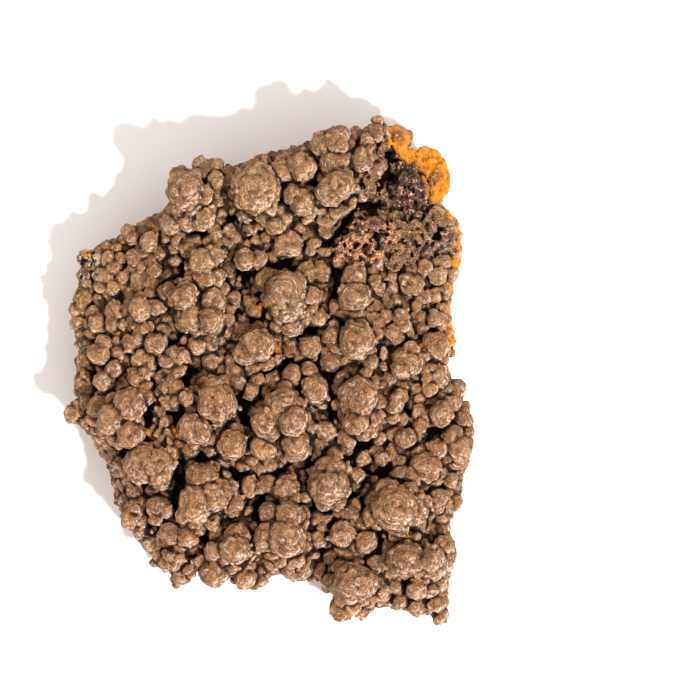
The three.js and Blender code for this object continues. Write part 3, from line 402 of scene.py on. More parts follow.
def swells(shape, *parts, on=0):
    """A start with smooth noise added: each part is the height and the width of its swells."""
    return sum((height * smooth_noise(shape, width) for height, width in parts), on)


def step_between(low, high, value):
    """0 below low and 1 above high, with a smooth step between."""
    share = np.clip((value - low) / (high - low), 0, 1)
    return share * share * (3 - 2 * share)


# More than any distance on the grid.
FARTHEST = 1e6


def distance_to_line(points):
    """Distance from each place seen from above to a line through points."""
    nearest = np.full(FLAT, FARTHEST, np.float32)
    for (ax, ay), (bx, by) in zip(points, points[1:]):
        dx, dy = bx - ax, by - ay
        share = np.clip(((flat_x - ax) * dx + (flat_y - ay) * dy) / (dx * dx + dy * dy), 0, 1)
        nearest = np.minimum(nearest, np.hypot(flat_x - ax - share * dx, flat_y - ay - share * dy))
    return nearest


def edge_distance():
    """Distance from each place to the outline, above zero inside it."""
    ring = OUTLINE + OUTLINE[:1]
    inside = np.zeros(FLAT, bool)
    for (ax, ay), (bx, by) in zip(ring, ring[1:]):
        if ay != by:
            crosses = (ay > flat_y) != (by > flat_y)
            inside ^= crosses & (flat_x < ax + (flat_y - ay) * (bx - ax) / (by - ay))
    return np.where(inside, 1, -1) * distance_to_line(ring)


def gap_distance():
    """Distance to the deep gaps, below zero inside them."""
    gaps = np.full(FLAT, FARTHEST, np.float32)
    for half_width, *points in GAPS:
        gaps = np.minimum(gaps, distance_to_line(points) - half_width)
    return swells(FLAT, (0.55, 1.4), (0.3, 0.7), on=gaps)


# How wide the soft border of a spot is.
BORDER_WIDTH = 0.6


def spot_mask(spots):
    """1 inside the round spots and 0 outside, with wavy, soft borders."""
    mask = np.zeros(FLAT, np.float32)
    border = swells(FLAT, (0.45, 1.3))
    for x, y, radius in spots:
        away = np.hypot(flat_x - x, flat_y - y) + border
        mask = np.maximum(mask, np.clip((radius - away) / BORDER_WIDTH + 0.5, 0, 1))
    return mask


def blurred(values, size_mm, passes=3):
    """Values averaged over squares or cubes of that size, several times over."""
    reach = max(1, int(round(size_mm / STEP / 2)))
    for _ in range(passes):
        for axis in range(values.ndim):
            pad = [(0, 0)] * values.ndim
            pad[axis] = (reach + 1, reach)
            total = np.cumsum(np.pad(values, pad, mode="edge"), axis=axis, dtype=np.float32)
            upper = np.take(total, np.arange(2 * reach + 1, total.shape[axis]), axis)
            lower = np.take(total, np.arange(total.shape[axis] - 2 * reach - 1), axis)
            values = (upper - lower) / (2 * reach + 1)
    return values


def place_index(x, y):
    """The point of the grid, seen from above, that a place is at."""
    return int((x - GRID_LOW[0]) / STEP), int((y - GRID_LOW[1]) / STEP)


def random_place():
    """A place on the grid seen from above, and its index."""
    x = rng.uniform(GRID_LOW[0], GRID_HIGH[0])
    y = rng.uniform(GRID_LOW[1], GRID_HIGH[1])
    return x, y, place_index(x, y)


edge = edge_distance()
gap = gap_distance()
uneven = smooth_noise(FLAT, 3.0)
granular = spot_mask(GRANULAR_SPOTS)
open_ochre = spot_mask(OCHRE_SPOTS)

# How far every ball is pushed out of true in x, y and z.
warp = [swells(SHAPE, (0.32, 1.9), (0.17, 0.85)) for _ in range(3)]

# Growth layers of the larger heads end in low ledges about the crown. Wobble shifts them unevenly.
LEDGE_SPACING = 0.95
LEDGE_DEPTH = 0.13
LEDGED_RADIUS = 1.0
wobble = swells(SHAPE, (1.0, 1.7), (0.35, 0.7))

# The groove where two balls meet.
GROOVE_WIDTH = 0.35
GROOVE_DEPTH = 0.05

# Room left in the grid about balls and necks, for their joints.
BALL_ROOM = 1
STEM_ROOM = 1.2

# Necks: the least of half their height, their width to that of the ball, and how much it grows over
# which length down to the foot.
LEAST_HALF = 0.2
STEM_WIDTH = 0.84
STEM_SPREAD = 0.12
STEM_SPREAD_LENGTH = 6


class Layer:
    """One piece of the specimen: distances to its surface, and the head that each place is near."""

    def __init__(self, name, most_triangles):
        self.name = name
        self.most_triangles = most_triangles
        self.field = np.full(SHAPE, FAR, np.float32)
        self.owner = np.full(SHAPE, -1, np.int16)

    def join(self, slices, distance, number, groove):
        """Joins a shape to the piece inside a window, with a groove along the joint."""
        old = self.field[slices]
        self.owner[slices][distance < old] = number
        near = np.clip(1 - np.abs(old - distance) / GROOVE_WIDTH, 0, 1)
        self.field[slices] = np.minimum(old, distance) + groove * near

    def cut(self, cutter):
        """Takes away the places where the cutter is below zero."""
        np.maximum(self.field, -cutter, out=self.field)

    def add_ball(self, centre, radii, number, groove=GROOVE_DEPTH):
        """A ball with its own radius along x, y and z. A larger one has ledges."""
        slices, (dx, dy, dz) = window(centre, [radius + BALL_ROOM for radius in radii])
        away = np.sqrt((dx / radii[0]) ** 2 + (dy / radii[1]) ** 2 + (dz / radii[2]) ** 2)
        distance = (away - 1) * min(radii)
        if min(radii) > LEDGED_RADIUS:
            from_crown = np.sqrt(dx * dx + dy * dy + (dz - radii[2]) ** 2)
            distance += LEDGE_DEPTH * ((1 - from_crown / LEDGE_SPACING - wobble[slices]) % 1)
        self.join(slices, distance, number, groove)

    def add_stem(self, centre, radius, foot, number):
        """The neck of a head, narrower than the ball on it and spreading a little downwards."""
        reach = radius + STEM_ROOM
        middle = (centre[0], centre[1], (centre[2] + foot) / 2)
        half = max(LEAST_HALF, (centre[2] - foot) / 2)
        slices, (dx, dy, dz) = window(middle, (reach, reach, half + BALL_ROOM))
        spread = STEM_SPREAD * np.clip((half - dz) / STEM_SPREAD_LENGTH, 0, 1)
        wide = radius * (STEM_WIDTH + spread)
        distance = np.maximum(np.hypot(dx, dy) - wide, np.abs(dz) - half)
        self.join(slices, distance, number, 0)


def window(centre, reach):
    """The part of the grid within reach of a centre: its slices, and its warped places."""
    slices = []
    away = []
    for axis, line in enumerate((grid_x, grid_y, grid_z)):
        first = max(0, int((centre[axis] - reach[axis] - GRID_LOW[axis]) / STEP))
        last = min(len(line), int((centre[axis] + reach[axis] - GRID_LOW[axis]) / STEP) + 2)
        slices.append(slice(first, last))
        along = [1, 1, 1]
        along[axis] = last - first
        away.append((line[first:last] - centre[axis]).reshape(along))
    slices = tuple(slices)
    return slices, [line + shift[slices] for line, shift in zip(away, warp)]


matrix = Layer("mottramite_matrix", MATRIX_TRIANGLES)
crust = {}
for up, row in ((True, "upper"), (False, "lower")):
    for right, side in ((False, "left"), (True, "right")):
        crust[up, right] = Layer(f"mottramite_crust_{row}_{side}", CRUST_TRIANGLES)
layers = [matrix, *crust.values()]


def crust_at(x, y):
    """The quarter of the crust that a head at this place belongs to."""
    return crust[y > 0, x > CRUST_MIDDLE_X]


# The plate: its side leans in towards the foot. Both are broken unevenly, the side less so near the
# crust.
SIDE_HEIGHTS = (0, 0.8, 2.5, 5, 7.5, 9)
SIDE_INSETS = (4.2, 2.4, 1.5, 0.9, 0.5, 0.25)
side_inset = np.interp(grid_z, SIDE_HEIGHTS, SIDE_INSETS).astype(np.float32)
side_rough = swells(SHAPE, (0.7, 4.0), (0.45, 1.6), (0.25, 0.8))
side_rough *= 1 - 0.6 * step_between(5, 9, height_z)
plate_side = side_inset[None, None, :] - edge[:, :, None] + side_rough
plate_foot = np.maximum(swells(FLAT, (0.7, 5.0), (0.3, 1.5)), 0)
plate_floor = EDGE_FLOOR + (CRUST_FLOOR - EDGE_FLOOR) * step_between(0, EDGE_SLOPE, edge)
plate_floor += 0.5 * uneven


def add_plate(top):
    """Joins the plate up to a height at each place."""
    distance = np.maximum(plate_side, height_z - top[:, :, None])
    distance = np.maximum(distance, plate_foot[:, :, None] - height_z)
    np.minimum(matrix.field, distance, out=matrix.field)


# What is known of each ball of the crust: its top, its tone, its radius and its head.
crowns = []
tones = []
sizes = []
heads = []


def new_number(crown, size, head=None):
    """Notes a new ball of the crust, and its head: by default a new one, and below 0 none."""
    crowns.append(crown)
    tones.append(rng.uniform())
    sizes.append(size)
    heads.append(len(crowns) if head is None else head)
    return len(crowns) - 1


def add_round_ball(layer, x, y, z, size, head):
    """A ball as tall as it is wide, part of a head."""
    layer.add_ball((x, y, z), (size, size, size), new_number((x, y, z + size), size, head))


# Heads nearer to the edge than BARE_EDGE have buds on their necks: how many, their radius, and how
# far they are sunk in a neck, in radii.
BARE_EDGE = 3.0
BUDS_PER_MM2 = 3
BUD_RADIUS = (0.4, 0.85)
BUD_SUNK = (0.3, 0.7)
NECK_SHARE = 0.95


def bud_stem(layer, centre, radius, foot, head):
    """Small buds on the neck of a head, where it can be seen from the side."""
    for _ in range(int((centre[2] - foot) * radius * BUDS_PER_MM2)):
        turn = rng.uniform(0, 2 * math.pi)
        size = rng.uniform(*BUD_RADIUS)
        out = radius * NECK_SHARE - size * rng.uniform(*BUD_SUNK)
        x = centre[0] + out * math.cos(turn)
        y = centre[1] + out * math.sin(turn)
        add_round_ball(layer, x, y, rng.uniform(foot, centre[2]), size, head)


# Heads: how much wider than listed, how uneven in plan, how tall to their radius, how deep their
# necks go, and how short these are at the edge, as a share of the radius and a length.
SPREAD = 1.2
SQUASH = (0.93, 1.07)
TALLNESS = (0.78, 1.0)
STEM_DEPTH = 0.8
SHORT_STEM_SHARE = 1.2
SHORT_STEM = 1.5

# Caps on the heads, on heads of CAPPED_RADIUS or more. Large ones are a share of the head, up to a
# most, and small ones have a radius of their own. The rise is the angle at which they sit, and the
# reach is how far they stand out, to the radius of the head.
CAPPED_RADIUS = 0.85
LARGE_CAPS_PER_MM = 6
LARGE_CAP_SHARE = (0.35, 0.72)
LARGE_CAP_MOST = (0.6, 1.6)
LARGE_CAP_RISE = (-0.4, 1.3)
SMALL_CAPS_PER_MM2 = 2
SMALL_CAP_RADIUS = (0.4, 0.8)
SMALL_CAP_RISE = (-0.7, 0.35)
CAP_REACH = (1.02, 1.12)


def add_head(x, y, radius, crown):
    """One head: a ball on a neck, with lower caps budding from it."""
    layer = crust_at(x, y)
    squash = SPREAD * rng.uniform(*SQUASH, 2)
    tall = radius * rng.uniform(*TALLNESS)
    centre = (x, y, crown - tall)
    number = new_number((x, y, crown), radius)
    layer.add_ball(centre, (radius * squash[0], radius * squash[1], tall), number)
    at = place_index(x, y)
    foot = min(centre[2], plate_floor[at] - STEM_DEPTH)
    if edge[at] < BARE_EDGE:
        foot = max(foot, centre[2] - SHORT_STEM_SHARE * radius - SHORT_STEM)
    layer.add_stem(centre, radius, foot, number)
    if edge[at] < BARE_EDGE:
        bud_stem(layer, centre, radius, foot, heads[number])
    if radius < CAPPED_RADIUS:
        return
    caps = []
    for _ in range(int(radius * LARGE_CAPS_PER_MM)):
        size = min(rng.uniform(*LARGE_CAP_SHARE) * radius, rng.uniform(*LARGE_CAP_MOST))
        caps.append((size, rng.uniform(*LARGE_CAP_RISE)))
    for _ in range(int(radius * radius * SMALL_CAPS_PER_MM2)):
        caps.append((rng.uniform(*SMALL_CAP_RADIUS), rng.uniform(*SMALL_CAP_RISE)))
    for size, rise in caps:
        size = min(size, LARGE_CAP_SHARE[1] * radius)
        turn = rng.uniform(0, 2 * math.pi)
        out = radius * rng.uniform(*CAP_REACH) - size
        cap_x = x + out * math.cos(turn) * math.cos(rise) * squash[0]
        cap_y = y + out * math.sin(turn) * math.cos(rise) * squash[1]
        cap_z = centre[2] + out * math.sin(rise) * tall / radius
        add_round_ball(layer, cap_x, cap_y, cap_z, size, heads[number])


for head in HEADS:
    add_head(*head)


def layer_height(layer):
    """Height of the top of a layer at each place, or the foot where it has nothing."""
    solid = layer.field < 0
    from_top = np.argmax(solid[:, :, ::-1], axis=2)
    return np.where(solid.any(axis=2), grid_z[SHAPE[2] - 1 - from_top], 0)


def top_height():
    """Height of the highest matter at each place."""
    return np.max([layer_height(layer) for layer in layers], axis=0)


add_plate(plate_floor)
inside = (edge > 0).astype(np.float32)
LEAST_SHARE = 0.05


def height_around(size_mm):
    """Mean height of the specimen about each place."""
    share_inside = np.maximum(blurred(inside, size_mm), LEAST_SHARE)
    return blurred(inside * top_height(), size_mm) / share_inside


# The floor rises between the heads to a little below their mean height, and the deep gaps are cut
# in it.
AROUND_SIZE = 3.2
FLOOR_BELOW = 1.15
FLOOR_RISE = 4
around = height_around(AROUND_SIZE)
between_heads = np.minimum(around - FLOOR_BELOW, plate_floor + FLOOR_RISE)
add_plate(np.maximum(plate_floor, between_heads) + swells(FLAT, (0.35, 1.1)))
matrix.cut(np.maximum(gap[:, :, None], CREVICE_FLOOR - height_z))

# Fill heads: their radius, how high they rise over the mean height, how close they may stand to
# others, as a share of both radii, and to the edge and the gaps, as a share of their own.
FILL_TRIES = 16000
FILL_RADIUS = (0.8, 1.6)
FILL_RISE = (-0.9, 0.5)
FILL_OVERLAP = 0.6
FILL_FROM_EDGE = 0.8
FILL_FROM_GAP = 0.3


def fill_heads():
    """Small heads in the room that the listed ones leave, up to about the height around them."""
    taken = np.array([head[:3] for head in HEADS], np.float32)
    added = []
    for _ in range(FILL_TRIES):
        x, y, at = random_place()
        radius = rng.uniform(*FILL_RADIUS)
        if edge[at] < radius * FILL_FROM_EDGE or gap[at] < radius * FILL_FROM_GAP:
            continue
        clear = np.hypot(taken[:, 0] - x, taken[:, 1] - y) - (taken[:, 2] + radius) * FILL_OVERLAP
        if clear.min() < 0:
            continue
        taken = np.vstack([taken, (x, y, radius)])
        added.append((x, y, radius, float(around[at] + rng.uniform(*FILL_RISE))))
    return added


for head in fill_heads():
    add_head(*head)


def add_ball_head(x, y, z, radius):
    """A small round head grown straight on what is under it."""
    stretches = ((0.95, 1.2), (0.95, 1.2), (0.7, 1))
    radii = [radius * rng.uniform(*stretch) for stretch in stretches]
    crust_at(x, y).add_ball((x, y, z), radii, new_number((x, y, z + radius), radius))


# Side heads: their radius, how far in from the edge they stay and within what slack, and between
# which heights they lie.
SIDE_TRIES = 60000
SIDE_RADIUS = (0.45, 1.5)
SIDE_INSET = 0.15
SIDE_SLACK = 0.3
SIDE_LOW = 8.6
SIDE_BELOW = 0.6
SIDE_LEAST_BAND = 0.5

# Floor heads: their radius, how far their middle lies above the floor, and how far off the edge.
FLOOR_TRIES = 11000
FLOOR_RADIUS = (0.35, 0.75)
FLOOR_LIFT = (-0.2, 0.35)
FLOOR_FROM_EDGE = 0.8
FLOOR_FROM_GAP = 0.1


def side_heads():
    """Small heads that cover the broken edge of the crust, seen from the side."""
    for _ in range(SIDE_TRIES):
        x, y, at = random_place()
        radius = rng.uniform(*SIDE_RADIUS)
        if abs(edge[at] - radius - SIDE_INSET) < SIDE_SLACK and open_ochre[at] < 0.3:
            low = SIDE_LOW + 1.5 * uneven[at]
            high = max(low + SIDE_LEAST_BAND, around[at] - SIDE_BELOW)
            add_ball_head(x, y, rng.uniform(low, high), radius)


def floor_heads():
    """Tiny heads on the floor between the larger ones."""
    floor_height = layer_height(matrix)
    crust_height = np.max([layer_height(layer) for layer in crust.values()], axis=0)
    for _ in range(FLOOR_TRIES):
        x, y, at = random_place()
        radius = rng.uniform(*FLOOR_RADIUS)
        open_floor = floor_height[at] > crust_height[at] and granular[at] < 0.5
        if edge[at] > FLOOR_FROM_EDGE and gap[at] > FLOOR_FROM_GAP and open_floor:
            add_ball_head(x, y, floor_height[at] + rng.uniform(*FLOOR_LIFT), radius)


side_heads()
floor_heads()


def wear_down(height, mask):
    """Takes away all that stands above a height inside a mask."""
    for layer in layers:
        layer.cut(np.maximum(height[:, :, None] - height_z, 0.5 - mask[:, :, None]))


# Broken granular parts: the heads are worn down to one uneven surface, and the plate is raised to
# just below it, but not far above the heads.
WORN_SIZE = 1.8
HEADS_LEFT = 0.4
PLATE_BELOW = 0.1
PLATE_OVER_HEADS = 0.6
heads_height = top_height()
broken = swells(FLAT, (0.7, 1.5), (0.4, 0.7), on=height_around(WORN_SIZE))
wear_down(broken + HEADS_LEFT, granular)
plate_top = np.minimum(broken - PLATE_BELOW, heads_height + PLATE_OVER_HEADS)
add_plate(np.where((granular > 0.5) & (gap > 0), plate_top, 0))

# The ochre corner, beyond this x and y, is a broken face, flatter than heads are.
CORNER_X = 18
CORNER_Y = 25
FACE_HEIGHT = 12.9
corner_spots = [spot for spot in OCHRE_SPOTS if spot[0] > CORNER_X and spot[1] > CORNER_Y]
ochre_corner = spot_mask(corner_spots)
face = swells(FLAT, (0.7, 2.6), (0.4, 1.0), on=FACE_HEIGHT)
add_plate(np.where(ochre_corner > 0.5, face - PLATE_BELOW, 0))
wear_down(face, ochre_corner)

# Grains, scattered and crowded: how many, their radius, how far they stand out, in radii, and how
# far off the edge they stay.
GRAIN_TRIES = 2600
GRAIN_RADIUS = (0.25, 0.45)
GRAIN_LIFT = (-0.75, -0.2)
GRAIN_FROM_EDGE = 0.5
GRAIN_LOWEST = 5
CROWD_PER_MM2 = 22
CROWD_RADIUS = (0.2, 0.5)
CROWD_LIFT = (-0.8, 0.6)
CROWD_FROM_EDGE = 0.4
CROWD_FROM_GAP = -0.1


def add_grain(x, y, radii, height, lifts):
    """A grain sunk in the surface, part of no head."""
    radius = rng.uniform(*radii)
    lift = rng.uniform(*lifts)
    number = new_number((x, y, height), radius, -1)
    crust_at(x, y).add_ball((x, y, height + radius * lift), (radius, radius, radius), number, 0)


def add_grains():
    """Grains: a few on the flanks of the heads, and crowded over the broken granular parts."""
    height = top_height()
    for _ in range(GRAIN_TRIES):
        x, y, at = random_place()
        if edge[at] > GRAIN_FROM_EDGE and height[at] > GRAIN_LOWEST:
            add_grain(x, y, GRAIN_RADIUS, height[at], GRAIN_LIFT)
    for x, y, reach in GRANULAR_SPOTS:
        for _ in range(int(reach * reach * CROWD_PER_MM2)):
            turn = rng.uniform(0, 2 * math.pi)
            out = reach * math.sqrt(rng.uniform())
            place = (x + out * math.cos(turn), y + out * math.sin(turn))
            at = place_index(*place)
            if edge[at] > CROWD_FROM_EDGE and gap[at] > CROWD_FROM_GAP:
                add_grain(*place, CROWD_RADIUS, height[at], CROWD_LIFT)


add_grains()

# Fine relief all over, coarser on the broken parts, and pores in the granular one. Nothing reaches
# below the lowest height.
PORE_DEPTH = 0.8
LOWEST = -0.02
roughness = swells(SHAPE, (0.07, 1.3), (0.05, 0.6))
coarse = swells(SHAPE, (0.22, 0.9), (0.14, 0.5))
roughness += np.maximum(granular, ochre_corner)[:, :, None] * coarse
pores = step_between(0.3, 0.6, swells(SHAPE, (1, 0.8), (0.4, 0.5)))
roughness += PORE_DEPTH * np.clip(granular - ochre_corner, 0, 1)[:, :, None] * pores
for layer in layers:
    layer.field += roughness
    layer.cut(height_z - LOWEST)


def add_object(name, data):
    """A new object in the scene."""
    made = bpy.data.objects.new(name, data)
    bpy.context.scene.collection.objects.link(made)
    return made


def add_mesh(name, places, faces):
    """A new mesh in the scene, as an object."""
    mesh = bpy.data.meshes.new(name)
    mesh.from_pydata(places, [], faces)
    return add_object(name, mesh)


def read_rows(items, name, width, kind):
    """What a mesh keeps for each of its items, as rows of numbers."""
    values = np.empty(len(items) * width, kind)
    items.foreach_get(name, values)
    return values.reshape(-1, width)


def draft_mesh(layer):
    """The surface of a layer as a mesh in metres, thinned to the number of triangles allowed."""
    grid = openvdb.FloatGrid(FAR)
    grid.copyFromArray(np.clip(layer.field, -FAR, FAR))
    points, quads = grid.convertToQuads(0.0)
    points = (points * STEP + np.array(GRID_LOW)) * MM
    corner = points[quads]
    normal = np.cross(corner[:, 1] - corner[:, 0], corner[:, 2] - corner[:, 0])
    if (normal * corner[:, 0]).sum() < 0:
        quads = quads[:, ::-1]
    draft = add_mesh("draft", points, quads)
    mesh = draft.data
    thin = draft.modifiers.new("thin", "DECIMATE")
    thin.ratio = min(1, layer.most_triangles / (2 * len(quads)))
    thin.use_collapse_triangulate = True
    evaluated = draft.evaluated_get(bpy.context.evaluated_depsgraph_get())
    thinned = bpy.data.meshes.new_from_object(evaluated)
    bpy.data.objects.remove(draft)
    bpy.data.meshes.remove(mesh)
    return thinned


# Loose parts with fewer vertices than this are crumbs.
SMALLEST_PART = 60


def without_crumbs(mesh):
    """The vertices and the triangles of a mesh without its loose crumbs."""
    count = len(mesh.vertices)
    links = read_rows(mesh.edges, "vertices", 2, np.int32)
    label = np.arange(count)
    while True:
        low = np.minimum(label[links[:, 0]], label[links[:, 1]])
        new = label.copy()
        np.minimum.at(new, links[:, 0], low)
        np.minimum.at(new, links[:, 1], low)
        new = new[new]
        new = new[new]
        if (new == label).all():
            break
        label = new
    keep = np.bincount(label, minlength=count)[label] >= SMALLEST_PART
    mesh.calc_loop_triangles()
    corners = read_rows(mesh.loop_triangles, "vertices", 3, np.int32)
    corners = corners[keep[corners[:, 0]]]
    places = read_rows(mesh.vertices, "co", 3, np.float32)
    number = np.cumsum(keep) - 1
    return places[keep], number[corners]


def grid_index(place_mm):
    """The nearest point of the grid to each place."""
    return tuple(
        np.clip(((place_mm[:, axis] - GRID_LOW[axis]) / STEP + 0.5).astype(int), 0, SHAPE[axis] - 1)
        for axis in range(3)
    )


# What is looked at from each place of the surface: how full the room about it is, and what is met
# on a number of ways out of it, which lean outwards.
FULLNESS_SIZE = 0.8
WAYS = 24
OUTWARDS = 1.15
WAY_LENGTHS = (0.7, 1.1, 1.6, 2.3, 3.2, 4.4)
JOINT_REACH = 0.32
solid = np.any([layer.field < 0 for layer in layers], axis=0)
fullness = blurred(solid.astype(np.float32), FULLNESS_SIZE, 2)
ways = rng.normal(size=(WAYS, 3))
ways /= np.linalg.norm(ways, axis=1)[:, None]


def closed_in(place_mm, normals):
    """How closed in each place is: the share of ways out of it that soon meet other matter."""
    blocked = np.zeros(len(place_mm), np.float32)
    for way in ways:
        outwards = way + OUTWARDS * normals
        outwards /= np.linalg.norm(outwards, axis=1)[:, None]
        hit = np.zeros(len(place_mm), bool)
        for reach in WAY_LENGTHS:
            hit |= solid[grid_index(place_mm + outwards * reach)]
        blocked += hit
    return blocked / len(ways)


def other_heads(place_mm, owner, layer):
    """How near each place is to the joint between two heads: the share of other heads about it."""
    head_of = np.array(heads + [-1])
    own = head_of[owner]
    other = np.zeros(len(place_mm), np.float32)
    for way in ways:
        near = head_of[layer.owner[grid_index(place_mm + way * JOINT_REACH)]]
        other += (near != own) & (near >= 0) & (own >= 0)
    return other / len(ways)


# Where each kind of matter shows.
bare_rock = spot_mask(BARE_ROCK_SPOTS)
stain_noise = smooth_noise(SHAPE, 1.7)
deep_ochre = spot_mask(DEEP_OCHRE_SPOTS)
masks = {
    "granular": granular,
    "dark": spot_mask(DARK_SPOTS),
    "pink": spot_mask(PINK_SPOTS),
    "cream": spot_mask(CREAM_SPOTS),
}

# Right of this x, ochre lies down the edge, to a little below this height. Dark grains cover this
# share of ochre.
OCHRE_EDGE_X = 24
OCHRE_EDGE_HEIGHT = 10
DARK_COVER = 0.75

# Values for the plate, which has no heads.
PLATE_POLE = 3
PLATE_TONE = 0.4
PLATE_SIZE = 1


def store_facts(mesh, layer, place_mm):
    """Keeps at each vertex what the material needs to know."""

    def store(name, values):
        attribute = mesh.attributes.new(name, "FLOAT", "POINT")
        attribute.data.foreach_set("value", np.asarray(values, np.float32))

    index = grid_index(place_mm)
    flat = index[:2]
    height = place_mm[:, 2]
    above = height - around[flat]
    normals = read_rows(mesh.vertices, "normal", 3, np.float32)

    # The ball that the place is on.
    owner = layer.owner[index]
    on_plate = owner < 0
    crown = np.array(crowns, np.float32)[owner]
    shifts = np.stack([shift[index] for shift in warp], axis=1)
    pole = np.where(on_plate, PLATE_POLE, np.linalg.norm(place_mm + shifts - crown, axis=1))
    store("pole", pole)
    store("ledge", pole / LEDGE_SPACING + wobble[index])
    store("tone", np.where(on_plate, PLATE_TONE, np.array(tones, np.float32)[owner]))
    store("size", np.where(on_plate, PLATE_SIZE, np.array(sizes, np.float32)[owner]))
    store("joint", np.where(on_plate, 0, other_heads(place_mm, owner, layer)))

    # How the place lies.
    store("shut", closed_in(place_mm, normals))
    store("bulge", 0.5 - fullness[index])
    store("deep", 1 - step_between(-3.2, -0.4, above))

    # Matrix shows low on the sides and where the upper edge is bare.
    low_down = 1 - step_between(6.8, 8.6, height + 0.8 * uneven[flat])
    bare = np.clip(bare_rock - masks["dark"], 0, 1)[flat] * (1 - step_between(16.5, 18, height))
    store("matrix", np.maximum(low_down, bare))

    # Ochre lies on top, down the right edge, on the broken corner, and in a few deep places.
    swell = stain_noise[index]
    at_edge = place_mm[:, 0] > OCHRE_EDGE_X
    over = np.where(at_edge, height - OCHRE_EDGE_HEIGHT + 2 * swell, above + 1.5 * swell)
    stain = open_ochre[flat] * step_between(-3, -1.5, over)
    stain = np.maximum(stain, ochre_corner[flat] * step_between(3, 9, height + 3 * swell))
    stain = np.maximum(stain, deep_ochre[flat] * (1 - step_between(-1.6, -0.8, above)))
    store("ochre", stain * (1 - DARK_COVER * masks["dark"][flat]))
    for name, mask in masks.items():
        store(name, mask[flat])


def make_pieces():
    """Turns every layer into a piece, all set on the middle of the CAD box and kept inside it."""
    drafts = []
    for layer in layers:
        mesh = draft_mesh(layer)
        drafts.append(without_crumbs(mesh))
        bpy.data.meshes.remove(mesh)
    own_low = np.min([places.min(axis=0) for places, _ in drafts], axis=0)
    own_high = np.max([places.max(axis=0) for places, _ in drafts], axis=0)
    low, high = np.array(node_low), np.array(node_high)
    share = np.minimum(1, (high - low) / (own_high - own_low))
    middle = (low + high) / 2 - (own_low + own_high) / 2 * share
    middle[2] = low[2] - own_low[2] * share[2]
    pieces = []
    for layer, (places, corners) in zip(layers, drafts):
        piece = add_mesh(layer.name, places * share + middle, corners)
        mesh = piece.data
        mesh.validate()
        mesh.polygons.foreach_set("use_smooth", [True] * len(mesh.polygons))
        store_facts(mesh, layer, places / MM)
        pieces.append(piece)
    return pieces


pieces = make_pieces()


class Graph:
    """A material's node graph, built by short calls that each return an output."""

    def __init__(self, name):
        self.material = bpy.data.materials.new(name)
        self.material.use_nodes = True
        self.tree = self.material.node_tree
        self.shader = self.tree.nodes["Principled BSDF"]
        coordinates = self.tree.nodes.new("ShaderNodeTexCoord")
        self.place = self.vector("MULTIPLY", coordinates.outputs["Object"], (1000, 1000, 1000))

    def put(self, socket, value):
        if isinstance(value, bpy.types.NodeSocket):
            self.tree.links.new(value, socket)
        elif value is not None:
            socket.default_value = value

    def vector(self, operation, a, b):
        node = self.tree.nodes.new("ShaderNodeVectorMath")
        node.operation = operation
        self.put(node.inputs[0], a)
        self.put(node.inputs[1], b)
        return node.outputs["Value" if operation == "DOT_PRODUCT" else "Vector"]

    def math(self, operation, a, b=None, c=None):
        node = self.tree.nodes.new("ShaderNodeMath")
        node.operation = operation
        for socket, value in zip(node.inputs, (a, b, c)):
            self.put(socket, value)
        return node.outputs[0]

    def times(self, a, b):
        return self.math("MULTIPLY", a, b)

    def attribute(self, name):
        node = self.tree.nodes.new("ShaderNodeAttribute")
        node.attribute_name = name
        return node.outputs["Fac"]

    def noise(self, size_mm, detail=2.0, rough=0.5, place=None):
        node = self.tree.nodes.new("ShaderNodeTexNoise")
        self.put(node.inputs["Vector"], place or self.place)
        node.inputs["Scale"].default_value = 1 / size_mm
        node.inputs["Detail"].default_value = detail
        node.inputs["Roughness"].default_value = rough
        return node.outputs["Fac"]

    def cells(self, size_mm, feature="F1", output="Distance", place=None):
        node = self.tree.nodes.new("ShaderNodeTexVoronoi")
        node.feature = feature
        self.put(node.inputs["Vector"], place or self.place)
        node.inputs["Scale"].default_value = 1 / size_mm
        return node.outputs[output]

    def range(self, value, low, high, out_low=0.0, out_high=1.0):
        node = self.tree.nodes.new("ShaderNodeMapRange")
        node.interpolation_type = "SMOOTHSTEP"
        for socket, item in zip(node.inputs, (value, low, high, out_low, out_high)):
            self.put(socket, item)
        return node.outputs[0]

    def mix(self, share, low, high, blend="MIX"):
        node = self.tree.nodes.new("ShaderNodeMix")
        node.data_type = "RGBA"
        node.blend_type = blend
        self.put(node.inputs[0], share)
        self.put(node.inputs[6], low if isinstance(low, bpy.types.NodeSocket) else (*low, 1))
        self.put(node.inputs[7], high if isinstance(high, bpy.types.NodeSocket) else (*high, 1))
        return node.outputs[2]

    def shade(self, colour, factor):
        """The colour made lighter or darker by a factor."""
        node = self.tree.nodes.new("ShaderNodeVectorMath")
        node.operation = "SCALE"
        self.put(node.inputs[0], colour)
        self.put(node.inputs["Scale"], factor)
        return node.outputs["Vector"]


# Distance between the growth layers of a head, mm.
LAYER_SPACING = 0.58

